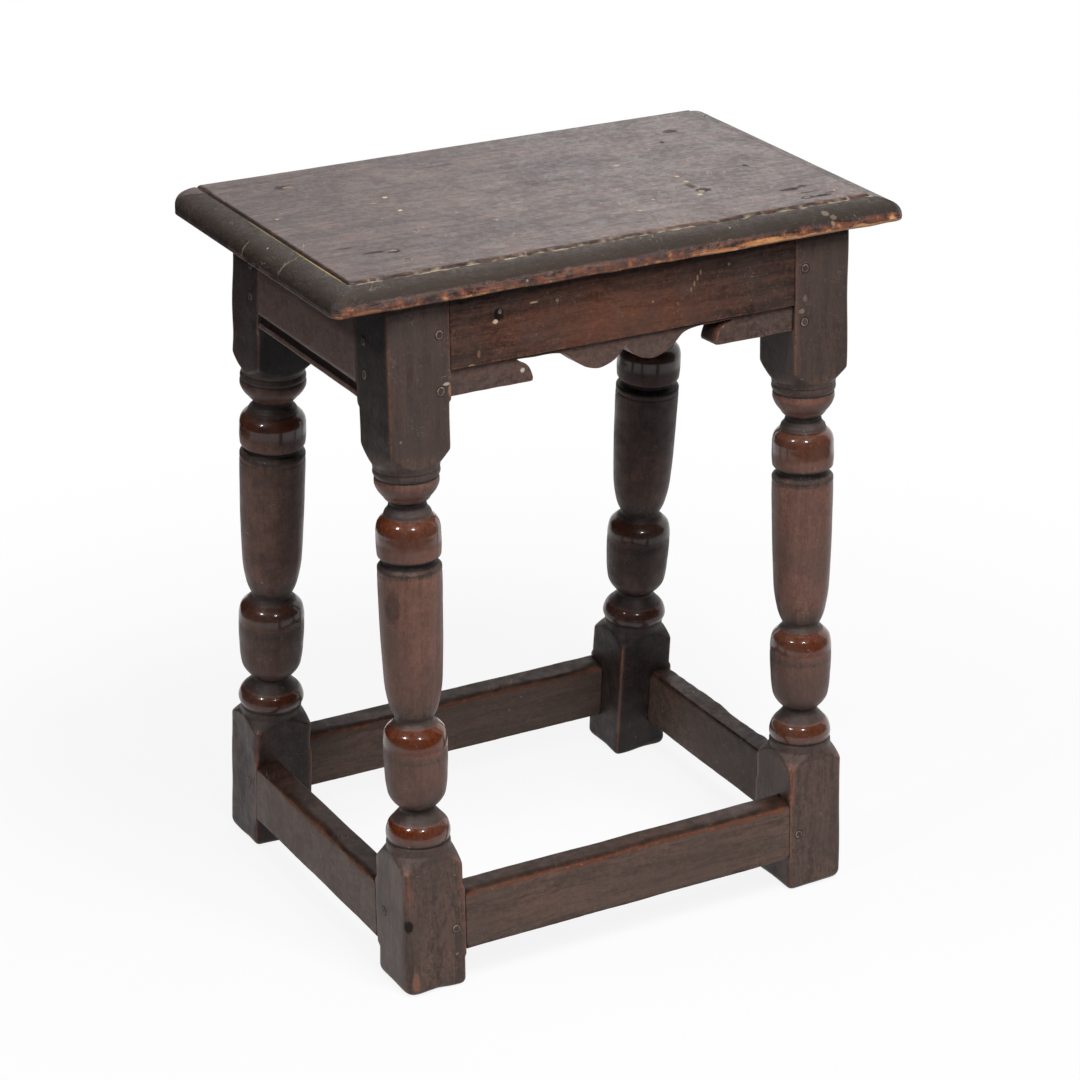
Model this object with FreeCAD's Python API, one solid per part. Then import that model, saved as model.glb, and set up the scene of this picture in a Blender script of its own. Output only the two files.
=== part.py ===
import FreeCAD, Part
import math
import os

from FreeCAD import Vector

# An oak joint stool: a pegged board seat on four turned legs, joined by aprons and low stretchers.
# Millimetres and degrees. The origin is on the floor, under the middle of the seat.
# +X runs along the seat to the right, -Y is the front and +Z is up.

# Overall sizes
seat_length = 460.0
seat_width = 264.0
seat_thickness = 18.0
stool_height = 536.0

# Legs: square blanks set in under the seat, splayed only across the stool
leg_square = 48.0
seat_end_overhang = 42.0
seat_side_overhang = 9.5
splay_angle = 3.33
arris_ease = 1.2
foot_ease = 3.0
foot_block_height = 101.5
top_block_height = 106.0
shoulder_rise = 10.5

# Seat moulding: a sunk thumbnail on the front and both ends, a plain rounded back edge
nosing_run = 21.0
nosing_sink = 1.5
nosing_drop = 13.0
seat_corner_radius = 9.0
back_edge_round = 3.0

# Aprons: scroll-cut and banded on the long sides, with a run hollow on the short sides
apron_thickness = 24.0
long_apron_height = 72.0
short_apron_height = 79.0
band_height = 19.5
band_recess = 2.5
scroll_rise = 17.5
hollow_height = 6.5
hollow_depth = 3.0
bead_height = 4.5

# Stretchers
stretcher_thickness = 20.0
stretcher_height = 47.0
stretcher_floor_gap = 26.5
stretcher_ease = 1.5

# Mortises and tenons: one gauge setting serves every joint
tenon_thickness = 8.0
tenon_setback = 9.0
crossing_wall = 2.5
apron_tenon_top_shoulder = 12.0
apron_tenon_bottom_shoulder = 6.0
stretcher_tenon_shoulder = 4.0
fit_gap = 0.15
mortise_end_gap = 1.0

# Pegs
peg_diameter = 6.5
peg_sides = 8
peg_proud = 0.4
peg_short = 3.0
peg_tip_length = 9.0
peg_gap = 0.1
peg_crossing_gap = 1.5
long_joint_peg_setback = 8.0
short_joint_peg_setback = 13.0
upper_peg_drop = 26.0
lower_peg_drop = 66.0
stretcher_peg_offset = 4.6
seat_peg_inset = 36.0
seat_peg_depth = 19.0
seat_peg_sink = 0.3

# Every cut runs this far past the face that it opens
overrun = 5.0

# Worked out from the sizes above
leg_top = stool_height - seat_thickness
half_leg = leg_square / 2
half_diagonal = leg_square / math.sqrt(2)
splay_tan = math.tan(math.radians(splay_angle))
splay_cos = math.cos(math.radians(splay_angle))
leg_length = leg_top / splay_cos
frame_half_length = seat_length / 2 - seat_end_overhang
half_pitch_length = frame_half_length - half_leg
span_half_length = half_pitch_length - half_leg
top_half_pitch = seat_width / 2 - seat_side_overhang - half_leg
foot_half_pitch = top_half_pitch + leg_top * splay_tan
tenon_length = leg_square - tenon_setback - tenon_thickness - crossing_wall
peg_radius = peg_diameter / 2
peg_length = leg_square + peg_proud - peg_short
peg_step = peg_diameter + peg_crossing_gap
stretcher_middle = stretcher_floor_gap + stretcher_height / 2

# The turning between the two square blocks, from the bottom up: each row is the height as a
# share of the turned length and the radius as a share of half the blank.
turning_shares = [
    (0.000, 0.985),  # band above the foot block
    (0.019, 0.985),
    (0.026, 0.915),  # base ring
    (0.044, 0.958),
    (0.064, 0.850),  # straight fall to the lower neck
    (0.090, 0.560),  # lower neck
    (0.103, 0.560),
    (0.124, 0.800),  # underside of the urn
    (0.152, 0.905),  # side of the urn
    (0.225, 0.958),
    (0.286, 0.958),  # ring on the urn's shoulder
    (0.302, 0.900),
    (0.315, 0.788),  # fall to the middle neck
    (0.335, 0.592),  # flare of the baluster
    (0.361, 0.700),
    (0.396, 0.800),
    (0.430, 0.850),  # body of the baluster
    (0.660, 0.955),
    (0.748, 0.955),  # V groove
    (0.759, 0.825),
    (0.774, 0.945),  # drum
    (0.843, 0.945),  # shoulder of the drum
    (0.861, 0.900),
    (0.872, 0.775),  # fall to the upper neck
    (0.903, 0.583),  # cup
    (0.922, 0.780),
    (0.950, 0.945),  # lip of the cup
    (0.978, 0.945),
    (0.984, 0.985),  # collar under the top block
    (1.000, 0.985),
]

# Half of the scroll-cut lower edge of a long apron, from the middle point out to the leg. Each
# row is the distance from the middle as a share of half the span, the height as a share of
# the scroll's rise, and a mark: True where the point only guides an arc.
scroll_shares = [
    (0.000, 0.715, False),  # point in the middle
    (0.061, 0.250, True),
    (0.160, 0.000, False),  # lowest part of the lobe
    (0.229, 0.130, True),
    (0.289, 0.460, False),  # where the lobe turns over into the arch
    (0.340, 0.800, True),
    (0.410, 0.955, False),  # crown of the arch
    (0.520, 0.965, True),
    (0.615, 1.000, False),  # nick behind the hooked strip
    (0.636, 0.945, True),
    (0.618, 0.885, False),
    (0.556, 0.640, True),   # nose of the hooked strip
    (0.531, 0.090, False),
]
scroll_tip_share = 0.543

# Where the curve of the seat's thumbnail passes between its two ends
nosing_run_share = 0.29
nosing_drop_share = 0.71

# How much of a peg's radius is left at its driven tip
peg_tip_share = 0.7

front = -1
back = 1
left = -1
right = 1
end_names = {left: "left", right: "right"}
side_names = {front: "front", back: "back"}
across = Vector(1, 0, 0)
along = Vector(0, 1, 0)
upward = Vector(0, 0, 1)


def block(x_range, y_range, z_range):
    """Rectangular block between three pairs of limits."""
    size = [high - low for low, high in (x_range, y_range, z_range)]
    return Part.makeBox(*size, Vector(x_range[0], y_range[0], z_range[0]))


def cylinder_along(radius, start, end):
    """Round bar from one point to another."""
    run = end.sub(start)
    return Part.makeCylinder(radius, run.Length, start, run)


def filled(edges):
    """Flat face inside a closed chain of edges."""
    return Part.Face(Part.Wire(edges))


def polygon(points):
    """Flat face with straight sides."""
    return Part.Face(Part.makePolygon(points + points[:1]))


def chain(points):
    """Straight edges that join points in turn."""
    return [Part.LineSegment(a, b).toShape() for a, b in zip(points, points[1:])]


def turned_chain(points):
    """Edges of a turning from row to row; a sloping one is a curve's straight, for a plain mesh."""
    edges = []
    for start, end in zip(points, points[1:]):
        if start.x == end.x:
            edges.append(Part.LineSegment(start, end).toShape())
        else:
            slope = Part.BezierCurve()
            slope.setPoles([start, end])
            edges.append(slope.toShape())
    return edges


def mirrored(shape, normal):
    """Copy on the other side of the middle plane with this normal."""
    return shape.mirror(Vector(0, 0, 0), normal)


def at_end(shape, end):
    """A piece modelled at the left end, or its mirror image at the right end."""
    return shape if end == left else mirrored(shape, across)


def at_side(shape, side):
    """A piece modelled at the front, or its mirror image at the back."""
    return shape if side == front else mirrored(shape, along)


def leaned(shape):
    """Tip a piece modelled upright on the leg's own centre plane into the splay of the front."""
    tipped = shape.copy()
    tipped.rotate(Vector(0, 0, 0), across, -splay_angle)
    tipped.translate(Vector(0, -foot_half_pitch, 0))
    return tipped


def under_seat(shape):
    """Trim a piece to the flat top of the frame and to the floor."""
    reach = seat_length + seat_width
    slab = block((-reach, reach), (-reach, reach), (0, leg_top))
    return shape.common(slab)


def shoulder_y(height):
    """Y of the front leg's inner face at a height above the floor."""
    return -foot_half_pitch + half_leg / splay_cos + height * splay_tan


def turned_profile():
    """Half section of the leg: wide where the blank stays square, turned in between."""
    clear_radius = half_diagonal + overrun
    foot_shoulder = foot_block_height / splay_cos
    top_shoulder = leg_length - top_block_height
    turned_start = foot_shoulder + shoulder_rise
    turned_length = top_shoulder - shoulder_rise - turned_start
    square_below = [
        Vector(0, 0, -leg_square),
        Vector(clear_radius, 0, -leg_square),
        Vector(clear_radius, 0, foot_shoulder),
        Vector(half_diagonal, 0, foot_shoulder),
    ]
    turned = [
        Vector(half_leg * radius, 0, turned_start + turned_length * rise)
        for rise, radius in turning_shares
    ]
    square_above = [
        Vector(half_diagonal, 0, top_shoulder),
        Vector(clear_radius, 0, top_shoulder),
        Vector(clear_radius, 0, leg_length + leg_square),
        Vector(0, 0, leg_length + leg_square),
    ]
    square = chain(turned[-1:] + square_above + square_below + turned[:1])
    return filled(square + turned_chain(turned))


def leg_bar(ease):
    """Square bar in the splay, with its arrises planed off by an amount."""
    inner = half_leg - ease
    corners = [
        (inner, half_leg),
        (half_leg, inner),
        (half_leg, -inner),
        (inner, -half_leg),
        (-inner, -half_leg),
        (-half_leg, -inner),
        (-half_leg, inner),
        (-inner, half_leg),
    ]
    places = [Vector(x, y, -leg_square) for x, y in corners]
    section = polygon(places if ease else places[::2])
    return leaned(section.extrude(Vector(0, 0, leg_length + leg_square + leg_square)))


def leg_blank():
    """Square blank with eased arrises, cut flat at both ends and eased round the foot."""
    sharp = under_seat(leg_bar(0))
    floor_edges = [edge for edge in sharp.Edges if edge.BoundBox.ZMax < foot_ease]
    return sharp.makeChamfer(foot_ease, floor_edges).common(leg_bar(arris_ease))


def long_tenon(height_range, grow=0.0, deeper=0.0):
    """Tenon at the left end of a front rail, upright, or the mortise for it when grown."""
    outer = -half_leg + tenon_setback
    return block(
        (-span_half_length - tenon_length - deeper, -span_half_length + overrun),
        (outer - grow, outer + tenon_thickness + grow),
        (height_range[0] - grow, height_range[1] + grow),
    )


def short_tenon(height_range, grow=0.0, deeper=0.0):
    """Tenon at the front end of a left rail, or the mortise for it when grown."""
    outer = -frame_half_length + tenon_setback - grow
    low = height_range[0] - grow
    high = height_range[1] + grow
    reach = (tenon_length + deeper) / splay_cos
    face = polygon([
        Vector(outer, shoulder_y(low) - reach, low),
        Vector(outer, shoulder_y(low) + overrun, low),
        Vector(outer, shoulder_y(high) + overrun, high),
        Vector(outer, shoulder_y(high) - reach, high),
    ])
    return face.extrude(Vector(tenon_thickness + grow + grow, 0, 0))


def apron_tenon_range(apron_height):
    """Lowest and highest point of an apron's tenon."""
    low = leg_top - apron_height + apron_tenon_bottom_shoulder
    return (low, leg_top - apron_tenon_top_shoulder)


def stretcher_tenon_range():
    """Lowest and highest point of a stretcher's tenon."""
    low = stretcher_floor_gap + stretcher_tenon_shoulder
    return (low, low + stretcher_height - stretcher_tenon_shoulder - stretcher_tenon_shoulder)


def long_peg_heights():
    """Heights of the pegs through a long apron's tenon."""
    return {"upper": leg_top - upper_peg_drop, "lower": leg_top - lower_peg_drop}


def short_peg_heights():
    """Heights of the pegs through a short apron's tenon, stepped clear of the long ones."""
    long_heights = long_peg_heights()
    return {"upper": long_heights["upper"] - peg_step, "lower": long_heights["lower"] + peg_step}


def long_peg_line(height, outside, inside):
    """Ends of a line through the left joint of a front rail, upright, at a height."""
    x = -span_half_length - long_joint_peg_setback
    return Vector(x, -half_leg - outside, height), Vector(x, half_leg + inside, height)


def short_peg_line(height, outside, inside):
    """Ends of a line through the front joint of a left rail at a height."""
    y = shoulder_y(height) - short_joint_peg_setback
    return (
        Vector(-frame_half_length - outside, y, height),
        Vector(-span_half_length + inside, y, height),
    )


def seat_peg_place():
    """Plan position of the seat's front left peg."""
    y = -top_half_pitch - half_leg + seat_peg_inset
    return Vector(-frame_half_length + seat_peg_inset, y, 0)


def eight_sided(line, rings):
    """Eight-sided bar along a line, through rings of a distance from its start and a radius."""
    start, end = line
    corner = 360 / peg_sides
    loops = []
    for distance, radius in rings:
        angles = [math.radians(corner * (index + 0.5)) for index in range(peg_sides)]
        loops.append([Vector(radius * math.cos(a), radius * math.sin(a), distance) for a in angles])
    faces = [polygon(loops[0]), polygon(loops[-1])]
    for low, high in zip(loops, loops[1:]):
        for index in range(peg_sides):
            before = index - 1
            faces.append(polygon([low[before], low[index], high[index], high[before]]))
    bar = Part.Solid(Part.Shell(faces))
    bar.Placement = FreeCAD.Placement(start, FreeCAD.Rotation(upward, end.sub(start)))
    return bar


def peg(line):
    """Riven oak peg driven along a line, tapered at its driven tip."""
    length = line[1].sub(line[0]).Length
    tip_radius = peg_radius * peg_tip_share
    rings = [(0, peg_radius), (length - peg_tip_length, peg_radius), (length, tip_radius)]
    return eight_sided(line, rings)


def peg_hole(line):
    """Hole for a peg, a little wider than the peg and pressed to its shape."""
    length = line[1].sub(line[0]).Length
    return eight_sided(line, [(0, peg_radius + peg_gap), (length, peg_radius + peg_gap)])


def front_left_leg():
    """Turned leg with its mortises and peg holes."""
    turned = turned_profile().revolve(Vector(0, 0, 0), upward, 360)
    turned.translate(Vector(-half_pitch_length, 0, 0))
    blank = leg_blank()
    blank.translate(Vector(-half_pitch_length, 0, 0))
    leg = blank.common(leaned(turned))
    grown = {"grow": fit_gap, "deeper": mortise_end_gap}
    cuts = [
        leaned(long_tenon(apron_tenon_range(long_apron_height), **grown)),
        leaned(long_tenon(stretcher_tenon_range(), **grown)),
        short_tenon(apron_tenon_range(short_apron_height), **grown),
        short_tenon(stretcher_tenon_range(), **grown),
    ]
    for height in long_peg_heights().values():
        cuts.append(leaned(peg_hole(long_peg_line(height, overrun, overrun))))
    for height in short_peg_heights().values():
        cuts.append(peg_hole(short_peg_line(height, overrun, overrun)))
    low_peg = stretcher_middle - stretcher_peg_offset
    high_peg = stretcher_middle + stretcher_peg_offset
    cuts.append(leaned(peg_hole(long_peg_line(low_peg, overrun, overrun))))
    cuts.append(peg_hole(short_peg_line(high_peg, overrun, overrun)))
    cuts.append(seat_peg_hole())
    return leg.cut(cuts)


def seat_peg_hole():
    """Hole for the front left seat peg, through the seat and into the leg."""
    place = seat_peg_place()
    bottom = leg_top - seat_peg_depth - mortise_end_gap
    top = stool_height + overrun
    return peg_hole((Vector(place.x, place.y, top), Vector(place.x, place.y, bottom)))


def scroll_edges(half):
    """Half of the scroll-cut edge, from the middle to the hooked strip, at one end."""
    points = [
        Vector(half * span_half_length * run, 0, scroll_rise * rise)
        for run, rise, guide in scroll_shares
    ]
    edges = []
    last = 0
    for index, row in enumerate(scroll_shares):
        if row[2]:
            edges.append(Part.Arc(points[last], points[index], points[index + 1]).toShape())
            last = index + 1
    return edges, points[-1]


def scroll_waste():
    """Wood sawn away under a long apron, with its lower edge at height zero."""
    left_edges, left_end = scroll_edges(left)
    right_edges, right_end = scroll_edges(right)
    tip = span_half_length * scroll_tip_share
    below = -overrun
    outside = [
        left_end,
        Vector(-tip, 0, 0),
        Vector(-tip, 0, below),
        Vector(tip, 0, below),
        Vector(tip, 0, 0),
        right_end,
    ]
    edges = left_edges[::-1] + chain(outside) + right_edges[::-1]
    waste = Part.Face(Part.Wire(Part.__sortEdges__(edges)))
    waste.translate(Vector(0, -leg_square, 0))
    return waste.extrude(Vector(0, leg_square + leg_square, 0))


def front_apron():
    """Long apron: scroll-cut lower edge, a sunk band along it and a tenon at each end."""
    low = leg_top - long_apron_height
    face = -half_leg
    ends = (-span_half_length, span_half_length)
    board = block(ends, (face, face + apron_thickness), (low, leg_top + overrun))
    band = block(
        (-frame_half_length, frame_half_length),
        (face - overrun, face + band_recess),
        (low - overrun, low + band_height),
    )
    waste = scroll_waste()
    waste.translate(Vector(0, 0, low))
    board = board.cut([band, waste])
    tenon = long_tenon(apron_tenon_range(long_apron_height))
    rail = board.fuse([tenon, mirrored(tenon, across)]).removeSplitter()
    holes = []
    for height in long_peg_heights().values():
        hole = peg_hole(long_peg_line(height, overrun, overrun))
        holes += [hole, mirrored(hole, across)]
    return under_seat(leaned(rail.cut(holes)))


def short_rail_board(thickness, low, high):
    """Board between the inner faces of a front and a back leg, at the left end."""
    outer = -frame_half_length
    face = polygon([
        Vector(outer, shoulder_y(low), low),
        Vector(outer, -shoulder_y(low), low),
        Vector(outer, -shoulder_y(high), high),
        Vector(outer, shoulder_y(high), high),
    ])
    return face.extrude(Vector(thickness, 0, 0))


def with_short_tenons(board, height_range, peg_heights):
    """Add the front and back tenon to a left rail and bore them for their pegs."""
    tenon = short_tenon(height_range)
    rail = board.fuse([tenon, mirrored(tenon, along)]).removeSplitter()
    holes = []
    for height in peg_heights:
        hole = peg_hole(short_peg_line(height, overrun, overrun))
        holes += [hole, mirrored(hole, along)]
    return rail.cut(holes)


def left_apron():
    """Short apron: angled shoulders and a hollow run along the outside above a lower bead."""
    low = leg_top - short_apron_height
    board = short_rail_board(apron_thickness, low, leg_top)
    bead_top = low + bead_height
    outer = -frame_half_length
    reach = foot_half_pitch + leg_square
    hollow_top = bead_top + hollow_height
    middle = Vector(outer + hollow_depth, -reach, (bead_top + hollow_top) / 2)
    lower = Vector(outer, -reach, bead_top)
    upper = Vector(outer, -reach, hollow_top)
    outside = [
        upper,
        Vector(outer - overrun, -reach, hollow_top),
        Vector(outer - overrun, -reach, bead_top),
        lower,
    ]
    section = filled([Part.Arc(lower, middle, upper).toShape()] + chain(outside))
    hollow = section.extrude(Vector(0, reach + reach, 0))
    heights = short_peg_heights().values()
    return with_short_tenons(board.cut(hollow), apron_tenon_range(short_apron_height), heights)


def front_stretcher():
    """Low front rail, flush with the legs, eased along its four long arrises."""
    low = stretcher_floor_gap
    face = -half_leg
    bar = block(
        (-span_half_length, span_half_length),
        (face, face + stretcher_thickness),
        (low, low + stretcher_height),
    )
    long_edges = [edge for edge in bar.Edges if edge.BoundBox.XLength > span_half_length]
    bar = bar.makeChamfer(stretcher_ease, long_edges)
    tenon = long_tenon(stretcher_tenon_range())
    rail = bar.fuse([tenon, mirrored(tenon, across)]).removeSplitter()
    hole = peg_hole(long_peg_line(stretcher_middle - stretcher_peg_offset, overrun, overrun))
    return leaned(rail.cut([hole, mirrored(hole, across)]))


def left_stretcher():
    """Low end rail with angled shoulders, eased along its four long arrises."""
    low = stretcher_floor_gap
    bar = short_rail_board(stretcher_thickness, low, low + stretcher_height)
    long_edges = [edge for edge in bar.Edges if edge.BoundBox.YLength > stretcher_height]
    bar = bar.makeChamfer(stretcher_ease, long_edges)
    heights = [stretcher_middle + stretcher_peg_offset]
    return with_short_tenons(bar, stretcher_tenon_range(), heights)


def nosing_waste(length):
    """Wood planed off above the thumbnail along an edge that lies on the X axis."""
    low = seat_thickness - nosing_sink - nosing_drop
    high = low + nosing_drop
    start = Vector(0, 0, low)
    end = Vector(0, nosing_run, high)
    through = Vector(0, nosing_run * nosing_run_share, low + nosing_drop * nosing_drop_share)
    above = seat_thickness + overrun
    corners = [
        end,
        Vector(0, nosing_run, above),
        Vector(0, -overrun, above),
        Vector(0, -overrun, low),
        start,
    ]
    waste = filled([Part.Arc(start, through, end).toShape()] + chain(corners))
    waste.translate(Vector(-length, 0, 0))
    return waste.extrude(Vector(length + length, 0, 0))


def seat_board():
    """Board seat with mitred thumbnail moulding on three edges and four peg holes."""
    half_length = seat_length / 2
    half_width = seat_width / 2
    board = block((-half_length, half_length), (-half_width, half_width), (0, seat_thickness))
    corners = [edge for edge in board.Edges if edge.BoundBox.ZLength > 0.5 * seat_thickness]
    board = board.makeFillet(seat_corner_radius, corners)
    front_waste = nosing_waste(seat_length)
    front_waste.translate(Vector(0, -half_width, 0))
    left_waste = nosing_waste(seat_length)
    left_waste.rotate(Vector(0, 0, 0), upward, -90)
    left_waste.translate(Vector(-half_length, 0, 0))
    back_corner = block(
        (-seat_length, seat_length),
        (half_width - back_edge_round, half_width + overrun),
        (seat_thickness - back_edge_round, seat_thickness + overrun),
    )
    back_round = cylinder_along(
        back_edge_round,
        Vector(-seat_length, half_width - back_edge_round, seat_thickness - back_edge_round),
        Vector(seat_length, half_width - back_edge_round, seat_thickness - back_edge_round),
    )
    back_waste = back_corner.cut(back_round)
    board = board.cut([front_waste, left_waste, mirrored(left_waste, across), back_waste])
    board.translate(Vector(0, 0, leg_top))
    hole = seat_peg_hole()
    holes = [hole, mirrored(hole, across)]
    holes += [mirrored(one, along) for one in holes]
    return board.cut(holes)


def corner_pegs(side, end):
    """Named pegs of one corner of the stool."""
    corner = side_names[side] + "_" + end_names[end]
    pegs = {}
    for name, height in long_peg_heights().items():
        pin = leaned(peg(long_peg_line(height, peg_proud, -peg_short)))
        pegs["peg_apron_" + side_names[side] + "_" + end_names[end] + "_" + name] = pin
    for name, height in short_peg_heights().items():
        pin = peg(short_peg_line(height, peg_proud, -peg_short))
        pegs["peg_apron_" + end_names[end] + "_" + side_names[side] + "_" + name] = pin
    low_line = long_peg_line(stretcher_middle - stretcher_peg_offset, peg_proud, -peg_short)
    pegs["peg_stretcher_" + side_names[side] + "_" + end_names[end]] = leaned(peg(low_line))
    high_line = short_peg_line(stretcher_middle + stretcher_peg_offset, peg_proud, -peg_short)
    pegs["peg_stretcher_" + end_names[end] + "_" + side_names[side]] = peg(high_line)
    place = seat_peg_place()
    top = Vector(place.x, place.y, stool_height - seat_peg_sink)
    bottom = Vector(place.x, place.y, leg_top - seat_peg_depth)
    pegs["peg_seat_" + corner] = peg((top, bottom))
    return {name: at_side(at_end(pin, end), side) for name, pin in pegs.items()}


def build_parts():
    """Every piece of the stool by node name."""
    parts = {"seat_board": seat_board()}
    leg = front_left_leg()
    for side in (front, back):
        for end in (left, right):
            name = "leg_" + side_names[side] + "_" + end_names[end]
            parts[name] = at_side(at_end(leg, end), side)
            parts.update(corner_pegs(side, end))
    for name, rail in (("apron", front_apron()), ("stretcher", front_stretcher())):
        for side in (front, back):
            parts[name + "_" + side_names[side]] = at_side(rail, side)
    for name, rail in (("apron", left_apron()), ("stretcher", left_stretcher())):
        for end in (left, right):
            parts[name + "_" + end_names[end]] = at_end(rail, end)
    return parts


def main():
    """Build the stool and write one file per piece."""
    os.makedirs("parts", exist_ok=True)
    for name, shape in build_parts().items():
        solid = shape if shape.ShapeType == "Solid" else shape.Solids[0]
        solid.exportStep(os.path.join("parts", name + ".step"))
        print(name, "volume", round(solid.Volume), "valid", solid.isValid())


main()
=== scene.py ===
# %% [markdown]
# This notebook dresses an oak joint stool. The joiner's frame comes from the construction model:
# a pegged seat board on four turned legs, with scroll-cut aprons and low stretchers. Here each
# piece is made again as a worn surface, because three hundred years of use show in its arrises.
# Every piece goes exactly where the frame says, so nothing has to be fitted by eye.

import math

import bmesh
import bpy
import numpy as np
from mathutils import Matrix, Vector


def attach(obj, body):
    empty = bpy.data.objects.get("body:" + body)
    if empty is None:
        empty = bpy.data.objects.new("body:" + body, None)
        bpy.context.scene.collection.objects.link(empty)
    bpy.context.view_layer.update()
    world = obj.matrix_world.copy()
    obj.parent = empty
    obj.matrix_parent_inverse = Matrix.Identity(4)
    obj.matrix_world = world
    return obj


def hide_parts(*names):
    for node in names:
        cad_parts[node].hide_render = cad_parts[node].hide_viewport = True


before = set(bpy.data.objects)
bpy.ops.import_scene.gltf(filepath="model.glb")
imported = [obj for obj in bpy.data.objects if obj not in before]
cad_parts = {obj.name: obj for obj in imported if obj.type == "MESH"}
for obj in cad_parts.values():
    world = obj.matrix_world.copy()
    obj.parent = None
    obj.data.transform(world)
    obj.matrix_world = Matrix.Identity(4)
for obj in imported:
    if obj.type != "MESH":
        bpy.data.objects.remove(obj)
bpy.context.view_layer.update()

# %% [markdown]
# The frame is in metres, but a joiner thinks in millimetres, so the shapes below are worked out
# in millimetres and turned into metres once, when a mesh is filled. These are the sizes that the
# construction model uses. The legs lean only across the stool, so a front piece is shaped upright
# and then leaned back, and the back pieces are its mirror image.

# %% Sizes in millimetres
METRES = 0.001
SEAT_HALF_LENGTH = 230.0
SEAT_HALF_WIDTH = 132.0
SEAT_THICKNESS = 18.0
LEG_TOP = 518.0
HALF_LEG = 24.0
HALF_PITCH = 164.0
SPLAY = math.radians(3.33)
LEG_LENGTH = LEG_TOP / math.cos(SPLAY)
FOOT_HALF_PITCH = 98.5 + LEG_TOP * math.tan(SPLAY)
FRAME_HALF_LENGTH = HALF_PITCH + HALF_LEG
SPAN_HALF_LENGTH = HALF_PITCH - HALF_LEG
LONG_APRON_LOW = 446.0
SHORT_APRON_LOW = 439.0
STRETCHER_LOW = 26.5
STRETCHER_HIGH = 73.5
SIGNS = {"front": 1, "back": -1, "left": 1, "right": -1}


def leaned(points):
    """Tip upright points about the X axis into the splay and move them out to the front feet."""
    x, y, z = points[..., 0], points[..., 1], points[..., 2]
    tipped_y = y * math.cos(SPLAY) + z * math.sin(SPLAY) - FOOT_HALF_PITCH
    tipped_z = z * math.cos(SPLAY) - y * math.sin(SPLAY)
    return np.stack([x, tipped_y, tipped_z], axis=-1)


def shoulder_y(height):
    """Y of the front leg's inner face at a height: the foot's place plus the lean times height."""
    return -FOOT_HALF_PITCH + HALF_LEG / math.cos(SPLAY) + height * math.tan(SPLAY)


def cornered(points, side, end):
    """The same points in another corner: mirror X for the right end and Y for the back."""
    return points * np.array([SIGNS[end], SIGNS[side], 1.0])


print("leg length along its lean:", round(LEG_LENGTH, 2))

# %% [markdown]
# Old timber is never quite flat. Two small tools make it so. The first gives a slow random drift
# in space, which bends arrises and hollows faces a little. The second presses dents or chips into
# a surface at scattered places. Both work on whole arrays, and both take a seed, so that the
# stool comes out the same each time.

# %% Drift and dents
def drift(points, length, seed):
    """Mean of twelve sine waves in random directions, with wavelengths near length: -1 to 1."""
    rng = np.random.default_rng(seed)
    ways = rng.normal(size=(12, 3))
    ways /= np.linalg.norm(ways, axis=1, keepdims=True)
    ways *= 2 * np.pi / length * rng.uniform(0.7, 1.5, (12, 1))
    return 2.4 * np.sin(points @ ways.T + rng.uniform(0, 2 * np.pi, 12)).mean(axis=-1)


def dents(points, centres, radii, depths):
    """Sum of bell-shaped pits: each depth times e to the minus squared distance over radius."""
    pressed = np.zeros(points.shape[:-1])
    for centre, radius, depth in zip(centres, radii, depths):
        near = ((points - centre) ** 2).sum(axis=-1) / radius**2
        pressed += depth * np.exp(-near)
    return pressed


def smooth(value, low, high):
    """S-curve from 0 at low to 1 at high: three t squared minus two t cubed."""
    t = np.clip((value - low) / (high - low), 0, 1)
    return t * t * (3 - 2 * t)


# %% [markdown]
# Each piece is one closed skin: a grid of points whose columns run round the piece and whose rows
# run along it. Each end is closed by a row that shrinks to the middle of the end ring, and the
# doubled points there are merged. The skin also carries four marks for every point, which the
# finishes read: rub (an arris that hands and feet have worn bare), soot (old dirt and wax in a
# hollow, and painted shade as well: the shadow in the short aprons' hollow, sides turned from the
# light, tops under the seat, undersides, inner faces and the back legs are darkened), amber (a
# polished ring or arris, painted in the deep colour that wax shows where it mirrors a dark room,
# with a few painted highlights and darker tops) and dust (a matt film of old polish that no duster
# reaches; on the coves of the legs it also paints a pale sheen, and on the faces of the short
# aprons painted light).

# %% The skin of a piece
MARKS = ("rub", "soot_and_shade", "polish_and_painted_light", "dust")


def skin(name, grid, marks, slot, node, capped=True):
    """Closed mesh from a grid (rows, columns, 3) in millimetres, in place of one frame node."""
    if capped:
        first = np.broadcast_to(grid[0].mean(axis=0), grid[0].shape)
        last = np.broadcast_to(grid[-1].mean(axis=0), grid[-1].shape)
        points = np.concatenate([first[None], grid, last[None]])
    else:
        points = grid
    rows, columns = points.shape[:2]
    index = np.arange(rows * columns).reshape(rows, columns)
    beside = np.roll(index, -1, axis=1)
    quads = np.stack([index[:-1], beside[:-1], beside[1:], index[1:]], axis=-1).reshape(-1, 4)
    mesh = bpy.data.meshes.new(name)
    mesh.from_pydata((points.reshape(-1, 3) * METRES).tolist(), [], quads.tolist())
    for mark in MARKS:
        value = np.broadcast_to(marks.get(mark, 0.0), grid.shape[:2])
        value = np.concatenate([value[:1], value, value[-1:]]) if capped else value
        layer = mesh.attributes.new(mark, "FLOAT", "POINT").data
        layer.foreach_set("value", np.ascontiguousarray(value, np.float32).ravel())
    shell = bmesh.new()
    shell.from_mesh(mesh)
    bmesh.ops.remove_doubles(shell, verts=shell.verts, dist=1e-6)
    bmesh.ops.recalc_face_normals(shell, faces=shell.faces)
    shell.to_mesh(mesh)
    shell.free()
    mesh.polygons.foreach_set("use_smooth", np.ones(len(mesh.polygons), bool))
    piece = bpy.data.objects.new(name, mesh)
    bpy.context.scene.collection.objects.link(piece)
    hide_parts(node)
    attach(piece, "root")
    piece.data.materials.append(finishes[slot])
    return piece
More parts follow.
